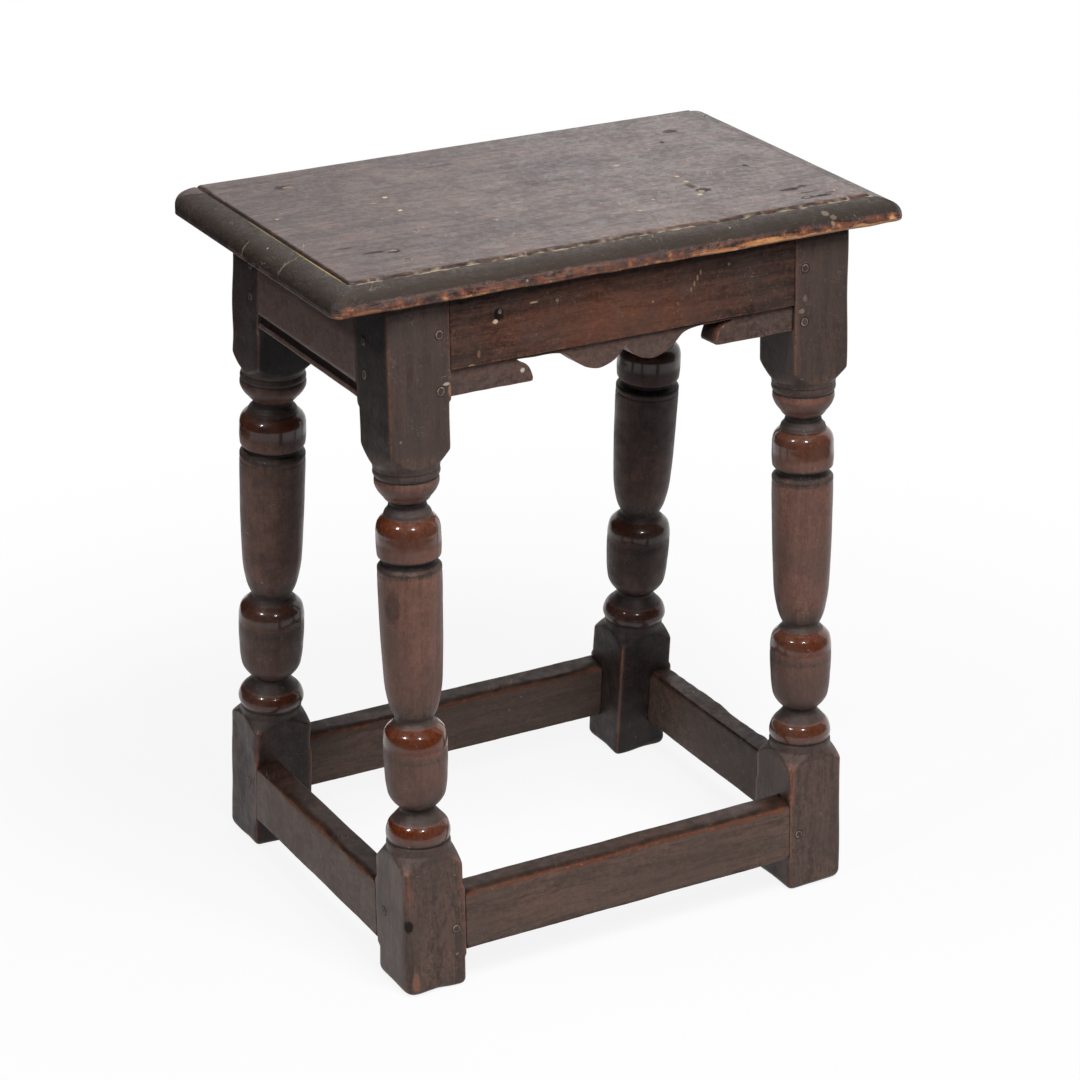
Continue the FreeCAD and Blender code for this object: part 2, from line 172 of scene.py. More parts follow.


# %% [markdown]
# The finishes come before the pieces, because each skin takes its finish as it is made. Several
# effects are shared by all the timbers, so each is a node group with named inputs: the figure of
# the oak, the bare wood of a rubbed arris, old dirt in the hollows together with painted shade,
# fine scuffs, and a small ragged mark. A few short helpers keep the node trees readable.

# %% Helpers for node trees
def tone(code):
    """Colour from a six-digit code, made linear by the usual 2.4 power curve."""
    parts = np.array([int(code[i:i + 2], 16) / 255 for i in (0, 2, 4)])
    linear = np.where(parts <= 0.04045, parts / 12.92, ((parts + 0.055) / 1.055) ** 2.4)
    return (*linear.tolist(), 1.0)


def put(tree, kind, inputs=None, **settings):
    """Add a node, set its options, and give each input a value or a link; returns the node."""
    node = tree.nodes.new(kind)
    for key, value in settings.items():
        setattr(node, key, value)
    for key, value in (inputs or {}).items():
        if isinstance(value, bpy.types.NodeSocket):
            tree.links.new(value, node.inputs[key])
        else:
            node.inputs[key].default_value = value
    return node


def calc(tree, operation, a, b=0.0, clamp=False):
    """One sum on two numbers."""
    node = put(tree, "ShaderNodeMath", {0: a, 1: b}, operation=operation, use_clamp=clamp)
    return node.outputs[0]


def weighted(tree, value, parts):
    """A value plus each mask times its factor."""
    for mask, factor in parts:
        value = calc(tree, "ADD", value, calc(tree, "MULTIPLY", mask, factor))
    return value


def vector(tree, operation, a, b=(0, 0, 0), output="Vector"):
    """One sum on two vectors; the output Value holds a length or a dot product."""
    return put(tree, "ShaderNodeVectorMath", {0: a, 1: b}, operation=operation).outputs[output]


def fade(tree, value, low, high, start=0.0, end=1.0):
    """S-curve of a value between two limits, put between two ends."""
    inputs = {"Value": value, "From Min": low, "From Max": high, "To Min": start, "To Max": end}
    return put(tree, "ShaderNodeMapRange", inputs, interpolation_type="SMOOTHSTEP").outputs[0]


def blend(tree, share, a, b):
    """Mix two colours by a share."""
    return put(tree, "ShaderNodeMix", {0: share, 6: a, 7: b}, data_type="RGBA").outputs[2]


def noise(tree, point, scale, detail=2.0, roughness=0.5):
    """Soft noise, 0 to 1."""
    inputs = {"Vector": point, "Scale": scale, "Detail": detail, "Roughness": roughness}
    return put(tree, "ShaderNodeTexNoise", inputs).outputs["Fac"]


def group(name, inputs, outputs):
    """Empty node group with named sockets; returns the tree, its inputs and its end node."""
    tree = bpy.data.node_groups.new(name, "ShaderNodeTree")
    for label, kind in inputs:
        tree.interface.new_socket(label, in_out="INPUT", socket_type=kind)
    for label in outputs:
        tree.interface.new_socket(label, in_out="OUTPUT", socket_type="NodeSocketFloat")
    start = tree.nodes.new("NodeGroupInput").outputs
    return tree, start, tree.nodes.new("NodeGroupOutput")


def place(tree, made, inputs):
    """Place a made group in a tree, set its inputs and return its outputs."""
    return put(tree, "ShaderNodeGroup", inputs, node_tree=made).outputs


# %% [markdown]
# Oak shows several things at once: broad streaks where the growth rings run, fine fibres between
# them, and pores, which are short dark dashes. All three are noise drawn out along the grain, so
# the group takes a stretch, small along the grain and 1 across it. The fibres are shorter than
# the streaks, so they take a second stretch. Mottle and clouds are the uneven tone of old wax.

# %% Figure of the oak
VECTOR, NUMBER = "NodeSocketVector", "NodeSocketFloat"
figure, start, end = group(
    "Oak figure", [("Place", VECTOR), ("Stretch", VECTOR), ("Short stretch", VECTOR)],
    ["Streak", "Fibre", "Pore", "Mottle", "Cloud"],
)
shift = calc(figure, "MULTIPLY", noise(figure, start["Place"], 14.0), 0.014)
bent = vector(figure, "ADD", start["Place"], shift)
long = vector(figure, "MULTIPLY", bent, start["Stretch"])
short = vector(figure, "MULTIPLY", bent, start["Short stretch"])
for label, point, scale, detail, rough, low, high in (
    ("Streak", long, 150.0, 5.0, 0.65, 0.36, 0.64),
    ("Fibre", short, 620.0, 5.0, 0.70, 0.38, 0.62),
    ("Pore", short, 1500.0, 2.0, 0.50, 0.57, 0.68),
    ("Mottle", start["Place"], 210.0, 6.0, 0.72, 0.38, 0.62),
    ("Cloud", start["Place"], 26.0, 4.0, 0.60, 0.34, 0.66),
):
    pattern = noise(figure, point, scale, detail, rough)
    figure.links.new(fade(figure, pattern, low, high), end.inputs[label])
print("group", figure.name)

# %% [markdown]
# A rubbed arris isn't an even stripe. The mark on the skin says how exposed a point is, and the
# group sets that against noise, so that the bare wood breaks up into patches. Dirt in the hollows,
# and the painted shade that shares its mark, break up the same way.

# %% Rubbed arrises, old dirt and painted shade
rubbed, start, end = group("Rubbed arris", [("Place", VECTOR), ("Rub", NUMBER)], ["Red", "Bare"])
patch = calc(rubbed, "SUBTRACT", noise(rubbed, start["Place"], 210.0, 6.0, 0.72), 0.5)
exposed = weighted(rubbed, start["Rub"], [(patch, 1.9)])
rubbed.links.new(fade(rubbed, exposed, 0.40, 0.90), end.inputs["Red"])
rubbed.links.new(fade(rubbed, exposed, 0.85, 1.30), end.inputs["Bare"])

dirt_and_shade_group, start, end = group("Dirt and painted shade", [("Place", VECTOR), ("Soot and shade", NUMBER)], ["Dirt", "Dust"])
patch = calc(dirt_and_shade_group, "SUBTRACT", noise(dirt_and_shade_group, start["Place"], 90.0, 4.0, 0.6), 0.5)
held = weighted(dirt_and_shade_group, start["Soot and shade"], [(patch, 0.6)])
dirt_and_shade_group.links.new(fade(dirt_and_shade_group, held, 0.25, 0.85), end.inputs["Dirt"])
grit = noise(dirt_and_shade_group, start["Place"], 420.0, 3.0, 0.7)
dirt_and_shade_group.links.new(fade(dirt_and_shade_group, grit, 0.58, 0.74), end.inputs["Dust"])
print("groups", rubbed.name, dirt_and_shade_group.name)

# %% [markdown]
# Use leaves two finer marks: hairline scratches that cross the grain, and pale specks where the
# wax has flaked. The scratches are a thin band of drawn-out noise, the specks are the middles of
# a few cells of a Voronoi pattern. A small ragged mark is for one known dent or stain: its
# distance from a centre, in half sizes, is roughened and cut off at 1.

# %% Scuffs and small marks
scuffs, start, end = group("Fine scuffs", [("Place", VECTOR)], ["Scratch", "Speck"])
inputs = {"Vector": start["Place"], "Rotation": (0.5, 0.9, 0.7)}
turned = put(scuffs, "ShaderNodeMapping", inputs).outputs[0]
hair = noise(scuffs, vector(scuffs, "MULTIPLY", turned, (1.0, 0.07, 0.5)), 420.0, 1.0)
hair = calc(scuffs, "ABSOLUTE", calc(scuffs, "SUBTRACT", hair, 0.5))
scarce = fade(scuffs, noise(scuffs, start["Place"], 55.0), 0.55, 0.68)
scratch = calc(scuffs, "MULTIPLY", fade(scuffs, hair, 0.012, 0.0), scarce)
scuffs.links.new(scratch, end.inputs["Scratch"])
cells = put(scuffs, "ShaderNodeTexVoronoi", {"Vector": start["Place"], "Scale": 95.0}).outputs
chosen = put(scuffs, "ShaderNodeSeparateColor", {"Color": cells["Color"]}).outputs[0]
middle = fade(scuffs, cells["Distance"], 0.13, 0.06)
speck = calc(scuffs, "MULTIPLY", middle, fade(scuffs, chosen, 0.90, 0.93))
scuffs.links.new(speck, end.inputs["Speck"])

small_mark, start, end = group(
    "Small ragged mark", [("Place", VECTOR), ("Centre", VECTOR), ("Half size", VECTOR)], ["Mark"]
)
offset = vector(small_mark, "SUBTRACT", start["Place"], start["Centre"])
offset = vector(small_mark, "DIVIDE", offset, start["Half size"])
length = vector(small_mark, "LENGTH", offset, output="Value")
ragged = weighted(small_mark, length, [(noise(small_mark, start["Place"], 500.0, 3.0, 0.7), 1.1)])
small_mark.links.new(fade(small_mark, ragged, 1.6, 1.2), end.inputs["Mark"])
print("groups", scuffs.name, small_mark.name)

# %% [markdown]
# One recipe serves all the timbers, with its own grain, tones and gloss for each. Its colour is
# laid on in coats, as on the real piece: dark wood, lit by the figure and the clouds, amber where
# wax and hands have polished the turning, which also paints the deep colour that wax shows where
# it mirrors a dark room, red and then bare on the rubbed arrises, grey where a film of old polish
# stays, in places also a painted sheen, and black in the hollows and wherever shade is painted.
# Gloss follows the same marks, a clear coat lies only on the deepest amber, and a bump lets the
# figure catch the light. The ten tones are those of dark and mid wood, clouds, thin and deep wax
# (also the painted reflection), red and bare wood, dirt (also the painted shade), dust and haze.

# %% The recipe for an old oak finish
def oak_finish(name, grain, shares, tones, gloss, relief, sheen, spots=()):
    """Material from grain (two stretches), shares of streak, fibre and mottle, ten tones, gloss
    (low, high), relief and sheen; its own spots, known dents and stains with a few painted shades
    and highlights, lie on top."""
    material = bpy.data.materials.new(name)
    material.use_nodes = True
    tree = material.node_tree
    tree.nodes.clear()
    where = put(tree, "ShaderNodeTexCoord").outputs["Object"]
    rub, soot_and_shade, polish_and_painted_light, film = (
        put(tree, "ShaderNodeAttribute", attribute_name=mark).outputs["Fac"] for mark in MARKS)
    # The thin and deep wax tones also paint the reflection of a dark room; the dirt tone also
    # paints shade.
    dark, mid, cloud, wax, deep, red, bare, dirt, dust, haze = (tone(code) for code in tones)
    oak = place(tree, figure, {"Place": where, "Stretch": grain[0], "Short stretch": grain[1]})
    worn = place(tree, rubbed, {"Place": where, "Rub": rub})
    grime_and_shade = place(tree, dirt_and_shade_group, {"Place": where, "Soot and shade": soot_and_shade})
    fine = place(tree, scuffs, {"Place": where})

    def share(value, factor):
        """A mask times a factor."""
        return calc(tree, "MULTIPLY", value, factor)

    lines = weighted(tree, 0.0, zip((oak["Streak"], oak["Fibre"], oak["Mottle"]), shares))
    # Painted reflection: the amber mask lays the deep wax tone where the polish would mirror a dark
    # room.
    polish_reflection_tone = blend(tree, fade(tree, polish_and_painted_light, 0.42, 0.85), wax, deep)
    polish_reflection_share = share(polish_and_painted_light, fade(tree, oak["Cloud"], 0.0, 1.0, 1.0, 0.55))
    filmed = share(film, fade(tree, oak["Mottle"], 0.0, 1.0, 0.55, 0.95))
    colour = dark
    for mask, over in (
        (fade(tree, lines, 0.1, 0.9), mid), (share(oak["Cloud"], 0.6), cloud), (polish_reflection_share, polish_reflection_tone),
        (share(oak["Pore"], 0.2), dark), (share(worn["Red"], 0.75), red),
        (share(worn["Bare"], 0.8), bare), (filmed, haze), (share(grime_and_shade["Dirt"], 0.88), dirt),
        (share(grime_and_shade["Dust"], 0.10), dust), (share(fine["Scratch"], 0.4), dust),
        (share(fine["Speck"], 0.45), dust),
    ):
        colour = blend(tree, mask, colour, over)

    rough = weighted(tree, fade(tree, oak["Mottle"], 0.0, 1.0, *gloss), (
        (oak["Cloud"], 0.10), (worn["Bare"], 0.12), (filmed, 0.06), (grime_and_shade["Dirt"], 0.14),
        (polish_and_painted_light, -0.10)))
    height = weighted(tree, 0.0, (
        (oak["Fibre"], 0.5), (oak["Mottle"], 0.4), (oak["Streak"], 0.8), (oak["Pore"], -0.5),
        (worn["Bare"], -0.7), (fine["Speck"], -0.8), (fine["Scratch"], -0.4)))
    height = share(height, calc(tree, "SUBTRACT", 1.0, share(polish_and_painted_light, 0.8)))
    coat = share(fade(tree, polish_and_painted_light, 0.6, 1.0, 0.0, 0.8), calc(tree, "SUBTRACT", 1.0, filmed))
    for centre, half, code, strength in spots:
        inputs = {"Place": where, "Centre": centre, "Half size": half}
        spot = share(place(tree, small_mark, inputs)["Mark"], strength)
        colour = blend(tree, spot, colour, tone(code))
        rough = weighted(tree, rough, [(spot, 0.35)])
        height = weighted(tree, height, [(spot, -1.6)])
    bump = put(tree, "ShaderNodeBump", {"Height": height, "Strength": relief, "Distance": 0.0004})

    surface = put(tree, "ShaderNodeBsdfPrincipled", {
        "Base Color": colour,
        "Roughness": calc(tree, "ADD", rough, 0.0, clamp=True),
        "Normal": bump.outputs[0],
        "Coat Weight": coat,
        "Coat Roughness": 0.12,
        "Specular IOR Level": sheen,
    })
    put(tree, "ShaderNodeOutputMaterial", {"Surface": surface.outputs[0]})
    print("finish", name, "nodes:", len(tree.nodes))
    return material


# %% [markdown]
# The seat has been sat on and wiped for centuries: it is duller and greyer than the frame, with
# pale specks and dark scars, some of them round the pegs. The legs keep more wax. The aprons are
# redder where dusters have reached them, and the stretchers, where feet rest, are dry and grey
# with bare top arrises.

# %% Finishes of the five timbers
ALONG_X = ((0.05, 1.0, 1.0), (0.12, 1.0, 1.0))
ALONG_Z = ((1.0, 1.0, 0.06), (1.0, 1.0, 0.14))
END_GRAIN = ((1.0, 1.0, 1.0), (1.0, 1.0, 1.0))
SEAT_TOP = 536.0


def placed(spots):
    """Spots from millimetres to metres: centre, half sizes, tone and strength."""
    return [(tuple(v * METRES for v in centre), tuple(v * METRES for v in half), code, strength)
            for centre, half, code, strength in spots]


SCAR, SOFT_SCAR, PALE, SOFT_PALE = "140d0b", "2a1c18", "b29c7c", "8d7f6e"
SCRATCH = "8a7058"
seat_spots = placed([((x, y, SEAT_TOP), (a, b, 5.0), *look) for x, y, a, b, *look in (
    (-165.3, -63.7, 10.0, 2.2, SCAR, 0.75), (-152.0, -67.5, 5.0, 3.6, SCAR, 0.85),
    (-152.5, -66.0, 3.2, 1.8, SOFT_PALE, 0.6), (-181.0, -47.0, 8.0, 1.8, SOFT_SCAR, 0.6),
    (-158.0, 96.5, 7.5, 4.6, SOFT_SCAR, 0.7), (-154.5, 95.5, 4.6, 2.6, SOFT_PALE, 0.5),
    (-103.2, 41.8, 2.4, 2.2, PALE, 0.75), (-107.5, 10.2, 2.0, 1.8, PALE, 0.8),
    (-117.0, 33.0, 4.4, 1.2, SOFT_PALE, 0.6), (-193.0, 32.0, 1.8, 1.4, PALE, 0.5),
    (143.6, 65.5, 2.6, 2.4, SOFT_SCAR, 0.8), (164.0, 87.0, 6.5, 4.6, SOFT_SCAR, 0.8),
    (83.4, 31.1, 3.0, 2.0, PALE, 0.6), (110.0, 48.0, 2.2, 1.4, SOFT_PALE, 0.5),
    (108.4, -12.4, 2.2, 2.4, PALE, 0.6), (107.8, -25.7, 2.2, 2.6, PALE, 0.6),
    (105.0, -36.0, 3.4, 6.5, SOFT_SCAR, 0.7), (108.0, -49.0, 7.0, 5.2, SCAR, 0.8),
    (105.4, -50.5, 2.8, 2.8, SOFT_PALE, 0.7), (100.2, -56.7, 2.4, 1.8, PALE, 0.8),
    (167.3, -12.6, 2.6, 2.4, SOFT_SCAR, 0.8), (164.3, -76.9, 9.0, 3.0, SCAR, 0.8),
    (176.0, -74.9, 4.0, 2.6, SCAR, 0.75), (165.2, -98.7, 6.5, 3.4, SCAR, 0.85),
    (165.0, -98.0, 3.4, 1.6, SOFT_PALE, 0.6), (178.0, -99.5, 8.0, 2.4, SCAR, 0.8),
    (186.0, -96.0, 5.0, 1.4, SOFT_SCAR, 0.7), (172.0, -88.0, 12.0, 1.2, SOFT_SCAR, 0.6),
    (42.7, -68.5, 1.8, 1.4, PALE, 0.5), (64.1, -51.1, 1.6, 1.4, PALE, 0.5),
    (-32.1, 91.4, 16.0, 1.4, SOFT_SCAR, 0.5), (20.0, 20.0, 22.0, 1.3, SOFT_SCAR, 0.35),
)] + [
    ((163.0, -124.0, 532.0), (3.2, 3.0, 4.0), SOFT_PALE, 0.3),
    ((168.0, -127.5, 529.0), (3.0, 2.2, 3.0), SOFT_PALE, 0.25),
    ((166.0, -130.5, 525.0), (1.8, 3.0, 3.0), PALE, 0.2),
    ((-227.0, 12.0, 524.0), (9.0, 0.9, 9.0), SOFT_PALE, 0.35),
    # Painted highlight: a pale yellow line along the lip of the left end's moulding.
    ((-210.6, -70.0, 534.6), (0.9, 46.0, 3.0), "8f7b4c", 0.7),
    ((-210.6, 10.0, 534.6), (0.8, 40.0, 3.0), "7a6844", 0.6),
    ((104.0, -131.0, 521.6), (22.0, 5.0, 2.2), "b47e50", 0.6),
    ((72.0, -131.5, 520.4), (16.0, 5.0, 1.6), "a97248", 0.5),
    ((-205.0, -129.0, 520.4), (14.0, 6.0, 2.0), "9a6240", 0.6),
    ((-222.0, -44.8, 528.0), (11.0, 0.9, 9.0), SOFT_PALE, 0.3),
])
apron_spots = placed([
    # A near-black spot paints the shade inside the lost pin's hole.
    ((-101.6, -123.8, 499.0), (4.6, 6.0, 5.4), "0f0a08", 0.95),
    ((-104.6, -123.8, 494.6), (2.4, 6.0, 1.7), "a4937a", 0.8),
    ((-100.2, -123.8, 500.6), (1.5, 6.0, 2.4), "7d7066", 0.7),
    ((-74.5, -123.4, 503.4), (3.4, 6.0, 0.8), "a5937c", 0.7),
    ((60.0, -123.4, 503.5), (0.9, 6.0, 2.4), SCRATCH, 0.5),
    ((57.4, -123.4, 499.6), (0.9, 6.0, 2.4), SCRATCH, 0.5),
    ((54.8, -123.4, 495.8), (0.9, 6.0, 2.4), SCRATCH, 0.5),
    ((52.2, -123.4, 492.2), (0.9, 6.0, 2.2), SCRATCH, 0.4),
    ((-83.0, -126.2, 455.6), (2.2, 6.0, 2.4), "b5aa9c", 0.8),
    ((-123.6, -125.5, 466.4), (3.2, 6.0, 1.3), "8d7b68", 0.7),
    ((79.8, -126.2, 460.6), (2.0, 6.0, 1.8), "b5aa9c", 0.8),
    ((-56.0, -123.3, 502.0), (1.6, 6.0, 1.6), "8d7b68", 0.4),
    ((-118.0, -125.0, 474.0), (1.4, 6.0, 3.2), "7c5c46", 0.5),
])
leg_spots = placed([
    ((-143.5, -126.3, 457.2), (2.8, 6.0, 1.3), "b2a494", 0.6),
    ((-141.0, -126.6, 452.0), (1.6, 6.0, 4.4), "8a6a50", 0.6),
    ((-183.0, -121.0, 297.0), (5.5, 8.0, 15.0), "2c2422", 0.5),
    ((-181.0, -152.0, 11.0), (3.2, 8.0, 9.0), "8a5c48", 0.45),
    # Two near-black spots paint shade: in a hole at the near foot's arris and just above the front
    # stretcher on the right front leg.
    ((-186.4, -148.4, 57.0), (5.0, 4.6, 6.0), "140e0c", 0.9),
    ((140.0, -133.0, 73.0), (6.0, 3.4, 3.4), "0f0a08", 0.9),
    ((148.2, -125.4, 470.5), (2.2, 6.0, 2.6), "8d7f70", 0.25),
    ((145.6, -125.9, 461.0), (2.6, 6.0, 2.2), "9a8a78", 0.3),
])
finishes = {
    "seat_oak": oak_finish(
        "Dry waxed oak seat", ALONG_X, (0.40, 0.34, 0.26),
        ("231a17", "53403a", "3a3233", "5a3a32", "5a3a32",
         "693e2c", "a97c56", "251f1a", "a09284", "968a74"),
        (0.28, 0.44), 0.4, 0.33, seat_spots),
    "leg_oak": oak_finish(
        "Waxed turned oak", ALONG_Z, (0.34, 0.30, 0.36),
        ("352823", "5d473e", "463a35", "7a5043", "4b1f08",
         "7a452d", "a0694a", "161415", "958a80", "38312f"),
        (0.30, 0.40), 0.11, 0.2, leg_spots),
    "apron_oak": oak_finish(
        "Waxed apron oak", ALONG_X, (0.45, 0.25, 0.3),
        ("1c1311", "4a3128", "3a302c", "6c4231", "6c4231",
         "6a3c2a", "a3734c", "120e0c", "8c8176", "5a4b46"),
        (0.32, 0.44), 0.22, 0.2, apron_spots),
    "stretcher_oak": oak_finish(
        "Worn stretcher oak", ALONG_X, (0.40, 0.32, 0.28),
        ("40322b", "5c4840", "4b3f39", "4a2412", "3c1c0e",
         "5e301b", "a5623a", "14100e", "8c8075", "4a4039"),
        (0.36, 0.46), 0.12, 0.15),
    "peg_oak": oak_finish(
        "Peg end grain", END_GRAIN, (0.3, 0.3, 0.4),
        ("241b18", "483b36", "40342f", "44302a", "44302a",
         "75645b", "8c8078", "120e0c", "8c8075", "4a4039"),
        (0.38, 0.50), 0.15, 0.2),
}

# %% [markdown]
# The leg is the joiner's best work: a square blank, turned between two blocks. Seen from above,
# any point of it lies at an angle round the axis and at a height, so one formula gives the whole
# surface: the radius is the smaller of two, that of the square blank and that of the turning.
# Where the two meet, the arched shoulders of the blocks appear by themselves. The turning is a
# short table of heights and radii, with the rise of each stretch above its chord.

# %% The turning's profile
TURNING = np.array([
    (98.4, 34.6, 0.4), (109.2, 23.5, 0.0), (114.6, 23.3, 0.0), (115.4, 22.5, 0.0),
    (116.8, 22.5, 0.0), (117.6, 23.0, 0.7), (126.6, 22.2, 0.4), (130.4, 19.8, -0.1),
    (137.6, 13.5, -0.3), (141.0, 13.3, 1.5), (153.0, 21.2, 0.3), (168.0, 22.6, 0.2),
    (185.4, 23.2, 0.0), (186.2, 23.0, 0.0), (187.0, 23.1, 0.6), (199.0, 21.8, 0.5),
    (204.2, 16.9, -0.1), (207.6, 14.1, -0.2), (210.0, 14.4, 0.5), (222.0, 18.5, 0.5),
    (243.0, 21.1, 0.3), (300.0, 22.7, 0.1), (321.0, 22.9, 0.0), (321.7, 22.3, 0.0),
    (322.4, 22.9, 0.0), (326.0, 22.9, 0.0), (328.8, 19.6, 0.0), (330.6, 19.2, 0.0),
    (334.2, 22.6, 0.3), (351.0, 23.0, 0.4), (358.2, 21.8, 0.1), (361.6, 19.3, 0.0),
    (362.4, 17.4, 0.0), (363.2, 17.0, 0.6), (367.4, 15.2, 0.0), (368.2, 14.2, 0.0),
    (371.6, 13.3, 0.0), (373.0, 13.7, 0.3), (376.4, 16.9, 0.0), (377.4, 17.3, 0.6),
    (385.2, 22.3, 0.3), (389.4, 22.9, 0.0), (391.2, 22.9, 0.0), (391.8, 22.1, 0.0),
    (392.6, 22.2, 0.0), (393.4, 23.1, 0.4), (397.4, 23.6, 0.0), (398.2, 23.1, 0.0),
    (399.0, 23.6, 0.0), (401.6, 23.8, 0.0), (413.4, 34.6, 0.0),
])


def turned_radius(height):
    """Straight line between two rows of the table plus 4t(1 - t) times the row's rise."""
    heights, radii, rises = TURNING.T
    row = np.clip(np.searchsorted(heights, height, side="right") - 1, 0, len(heights) - 2)
    t = np.clip((height - heights[row]) / (heights[row + 1] - heights[row]), 0, 1)
    line = radii[row] + t * (radii[row + 1] - radii[row])
    return line + rises[row] * 4 * t * (1 - t)


def worn_radius(height):
    """Mean of the profile at the height and half a millimetre to each side, as wear rounds it."""
    below, above = turned_radius(height - 0.5), turned_radius(height + 0.5)
    return (below + 2 * turned_radius(height) + above) / 4


# %% [markdown]
# The square part is a square with soft corners: half the blank, times the p-norm of the sine and
# cosine of the angle. A small p wears the corner round and a large one keeps it crisp. Where a
# rail meets the leg flush, that arris was never touched, so p is large there.

# %% The surface of a turned leg
LEG_COLUMNS = 160
LEG_DENTS = 34
RAIL_CRISP = 140.0
MOVED_AT = (100.0, 140.0, 209.0, 330.0, 371.0, 400.0, 430.0)
leg_heights = np.concatenate([
    np.arange(0.0, 10.0, 0.8), np.arange(10.0, 86.0, 1.8), np.arange(86.0, 114.0, 0.8),
    np.arange(114.0, 400.0, 0.9), np.arange(400.0, 420.0, 0.8), np.arange(420.0, 514.0, 1.9),
    np.linspace(514.0, LEG_LENGTH - 0.05, 4),
])


def leg_angles():
    """Angles round the leg, drawn together at the four corners."""
    even = np.linspace(-1, 1, LEG_COLUMNS // 4, endpoint=False)
    quarter = math.pi / 4 * (even + 0.6 * np.sin(math.pi * even) / math.pi)
    return np.concatenate([quarter + k * math.pi / 2 for k in range(4)])


def corner_sharpness(angle, height):
    """p of the soft square: small where an arris is free, large where a rail lies flush."""
    stretcher_zone = smooth(height, 22.0, 26.0) * (1 - smooth(height, 74.0, 78.0))
    long_zone = np.maximum(stretcher_zone, smooth(height, 443.0, 447.0))
    short_zone = np.maximum(stretcher_zone, smooth(height, 436.0, 440.0))
    corner = np.floor((angle % (2 * np.pi)) / (np.pi / 2)).astype(int)
    crisp = np.choose(corner, [long_zone, short_zone, 0 * height, long_zone])
    return np.choose(corner, [17.0, 14.0, 10.0, 14.0]) + crisp * RAIL_CRISP


def leg_surface(seed, shoulder, girth, moved):
    """Leaned grid of the softer minimum of the two radii, and what its marks come from."""
    angle, height = np.meshgrid(leg_angles(), leg_heights)
    at = height - np.interp(height, MOVED_AT, moved)
    flat = np.stack([np.cos(angle) * HALF_LEG, np.sin(angle) * HALF_LEG, height], axis=-1)
    sharpness = corner_sharpness(angle, height) * (1 + 0.3 * drift(flat, 55, seed))
    norm = (abs(np.cos(angle)) ** sharpness + abs(np.sin(angle)) ** sharpness) ** (-1 / sharpness)
    square = 1 + 1.3 * girth * smooth(height, 112, 118) * (1 - smooth(height, 384, 394))
    square = HALF_LEG * norm * square
    turning = worn_radius(at) * (1 + girth * smooth(at, 112, 122) * (1 - smooth(at, 390, 400)))
    beyond = np.maximum(109.0 - at, at - 401.8).clip(0)
    turning = np.minimum(turning, 23.8 + girth * HALF_LEG + shoulder * beyond)
    radius = -0.4 * np.log(np.exp(-square / 0.4) + np.exp(-turning / 0.4))

    rng = np.random.default_rng(seed)
    knock = np.stack([rng.uniform(-24, 24, LEG_DENTS), rng.uniform(-24, 24, LEG_DENTS),
                      rng.uniform(4, 420, LEG_DENTS)], axis=-1)
    pressed = dents(flat, knock, rng.uniform(1.5, 5.0, LEG_DENTS), rng.uniform(0.1, 0.5, LEG_DENTS))
    flush = smooth(height, 20, 26) * (1 - smooth(height, 74, 80)) + smooth(height, 436, 440)
    hollowed = 0.10 + 0.09 * drift(flat, 38, seed + 1)
    radius -= hollowed * (1 - 0.8 * flush) + pressed * (1 - flush)
    foot = np.clip(6.0 + 2.2 * drift(flat, 40, seed + 2), 3.0, 9.5)
    radius -= foot - np.sqrt(foot**2 - np.clip(foot - height, 0, None) ** 2)

    x, y = radius * np.cos(angle), radius * np.sin(angle)
    sloped = (1 - smooth(height, 0, 80)) + smooth(height, LEG_LENGTH - 80, LEG_LENGTH)
    z = height + y * math.tan(SPLAY) * sloped
    grid = leaned(np.stack([x, y, z], axis=-1)) - np.array([HALF_PITCH, 0, 0])
    grid[..., 2] = np.clip(grid[..., 2], 0, LEG_TOP)
    near_arris = HALF_LEG - np.minimum(abs(x), abs(y))
    return grid, angle, height, at, square, turning, flush, near_arris


# %% [markdown]
# The marks follow how a leg is used. Hands and dusters polish what stands proud, so the shoulders
# of the drum, the urn and the base ring turn amber; the amber is also a painted reflection, the
# deep colour that the wax shows where it mirrors a dark room. Dirt and a matt film settle in the
# coves and grooves between them, and on the coves the film also paints a pale sheen. The face of
# each block turned from the light is painted darker, most near the top. Every leg has its own
# girth and placing of the necks, and its own amount of painted shade, most on the back legs under
# the seat.

# %% The marks of a turned leg
# Bands of matt film of old polish; on the coves the film also paints a pale sheen.
FILM_AND_SHEEN_BANDS = ((103.0, 117.0, 0.7), (130.6, 140.5, 0.9), (204.4, 213.0, 0.9), (323.0, 329.4, 0.3),
         (146.0, 188.0, 0.3), (362.6, 372.6, 1.0), (390.8, 404.0, 0.7))
GROOVES = ((328.4, 332.6, 0.95), (391.4, 392.8, 0.8), (397.6, 398.8, 0.7), (115.0, 117.2, 0.8),
           (369.2, 373.0, 0.7), (185.8, 186.8, 0.5), (139.0, 141.5, 0.6))
# Bands painted amber: polish, and the deep colour the wax shows where it mirrors a dark room.
POLISH_AND_REFLECTION_BANDS = ((117.4, 118.6, 130.8, 0.95), (142.0, 150.0, 180.0, 0.32), (180.0, 193.0, 204.6, 1.0),
            (212.0, 230.0, 322.0, 0.38), (333.0, 349.0, 363.0, 1.0), (334.2, 335.0, 350.0, 0.5),
            (374.0, 376.0, 391.0, 0.45))


def banded(height, bands):
    """Largest over the bands: the share times an S-curve up and an S-curve down again."""
    value = np.zeros_like(height)
    for start, full, fading, gone, share in bands:
        rise_and_fall = smooth(height, start, full) * (1 - smooth(height, fading, gone))
        value = np.maximum(value, share * rise_and_fall)
    return value


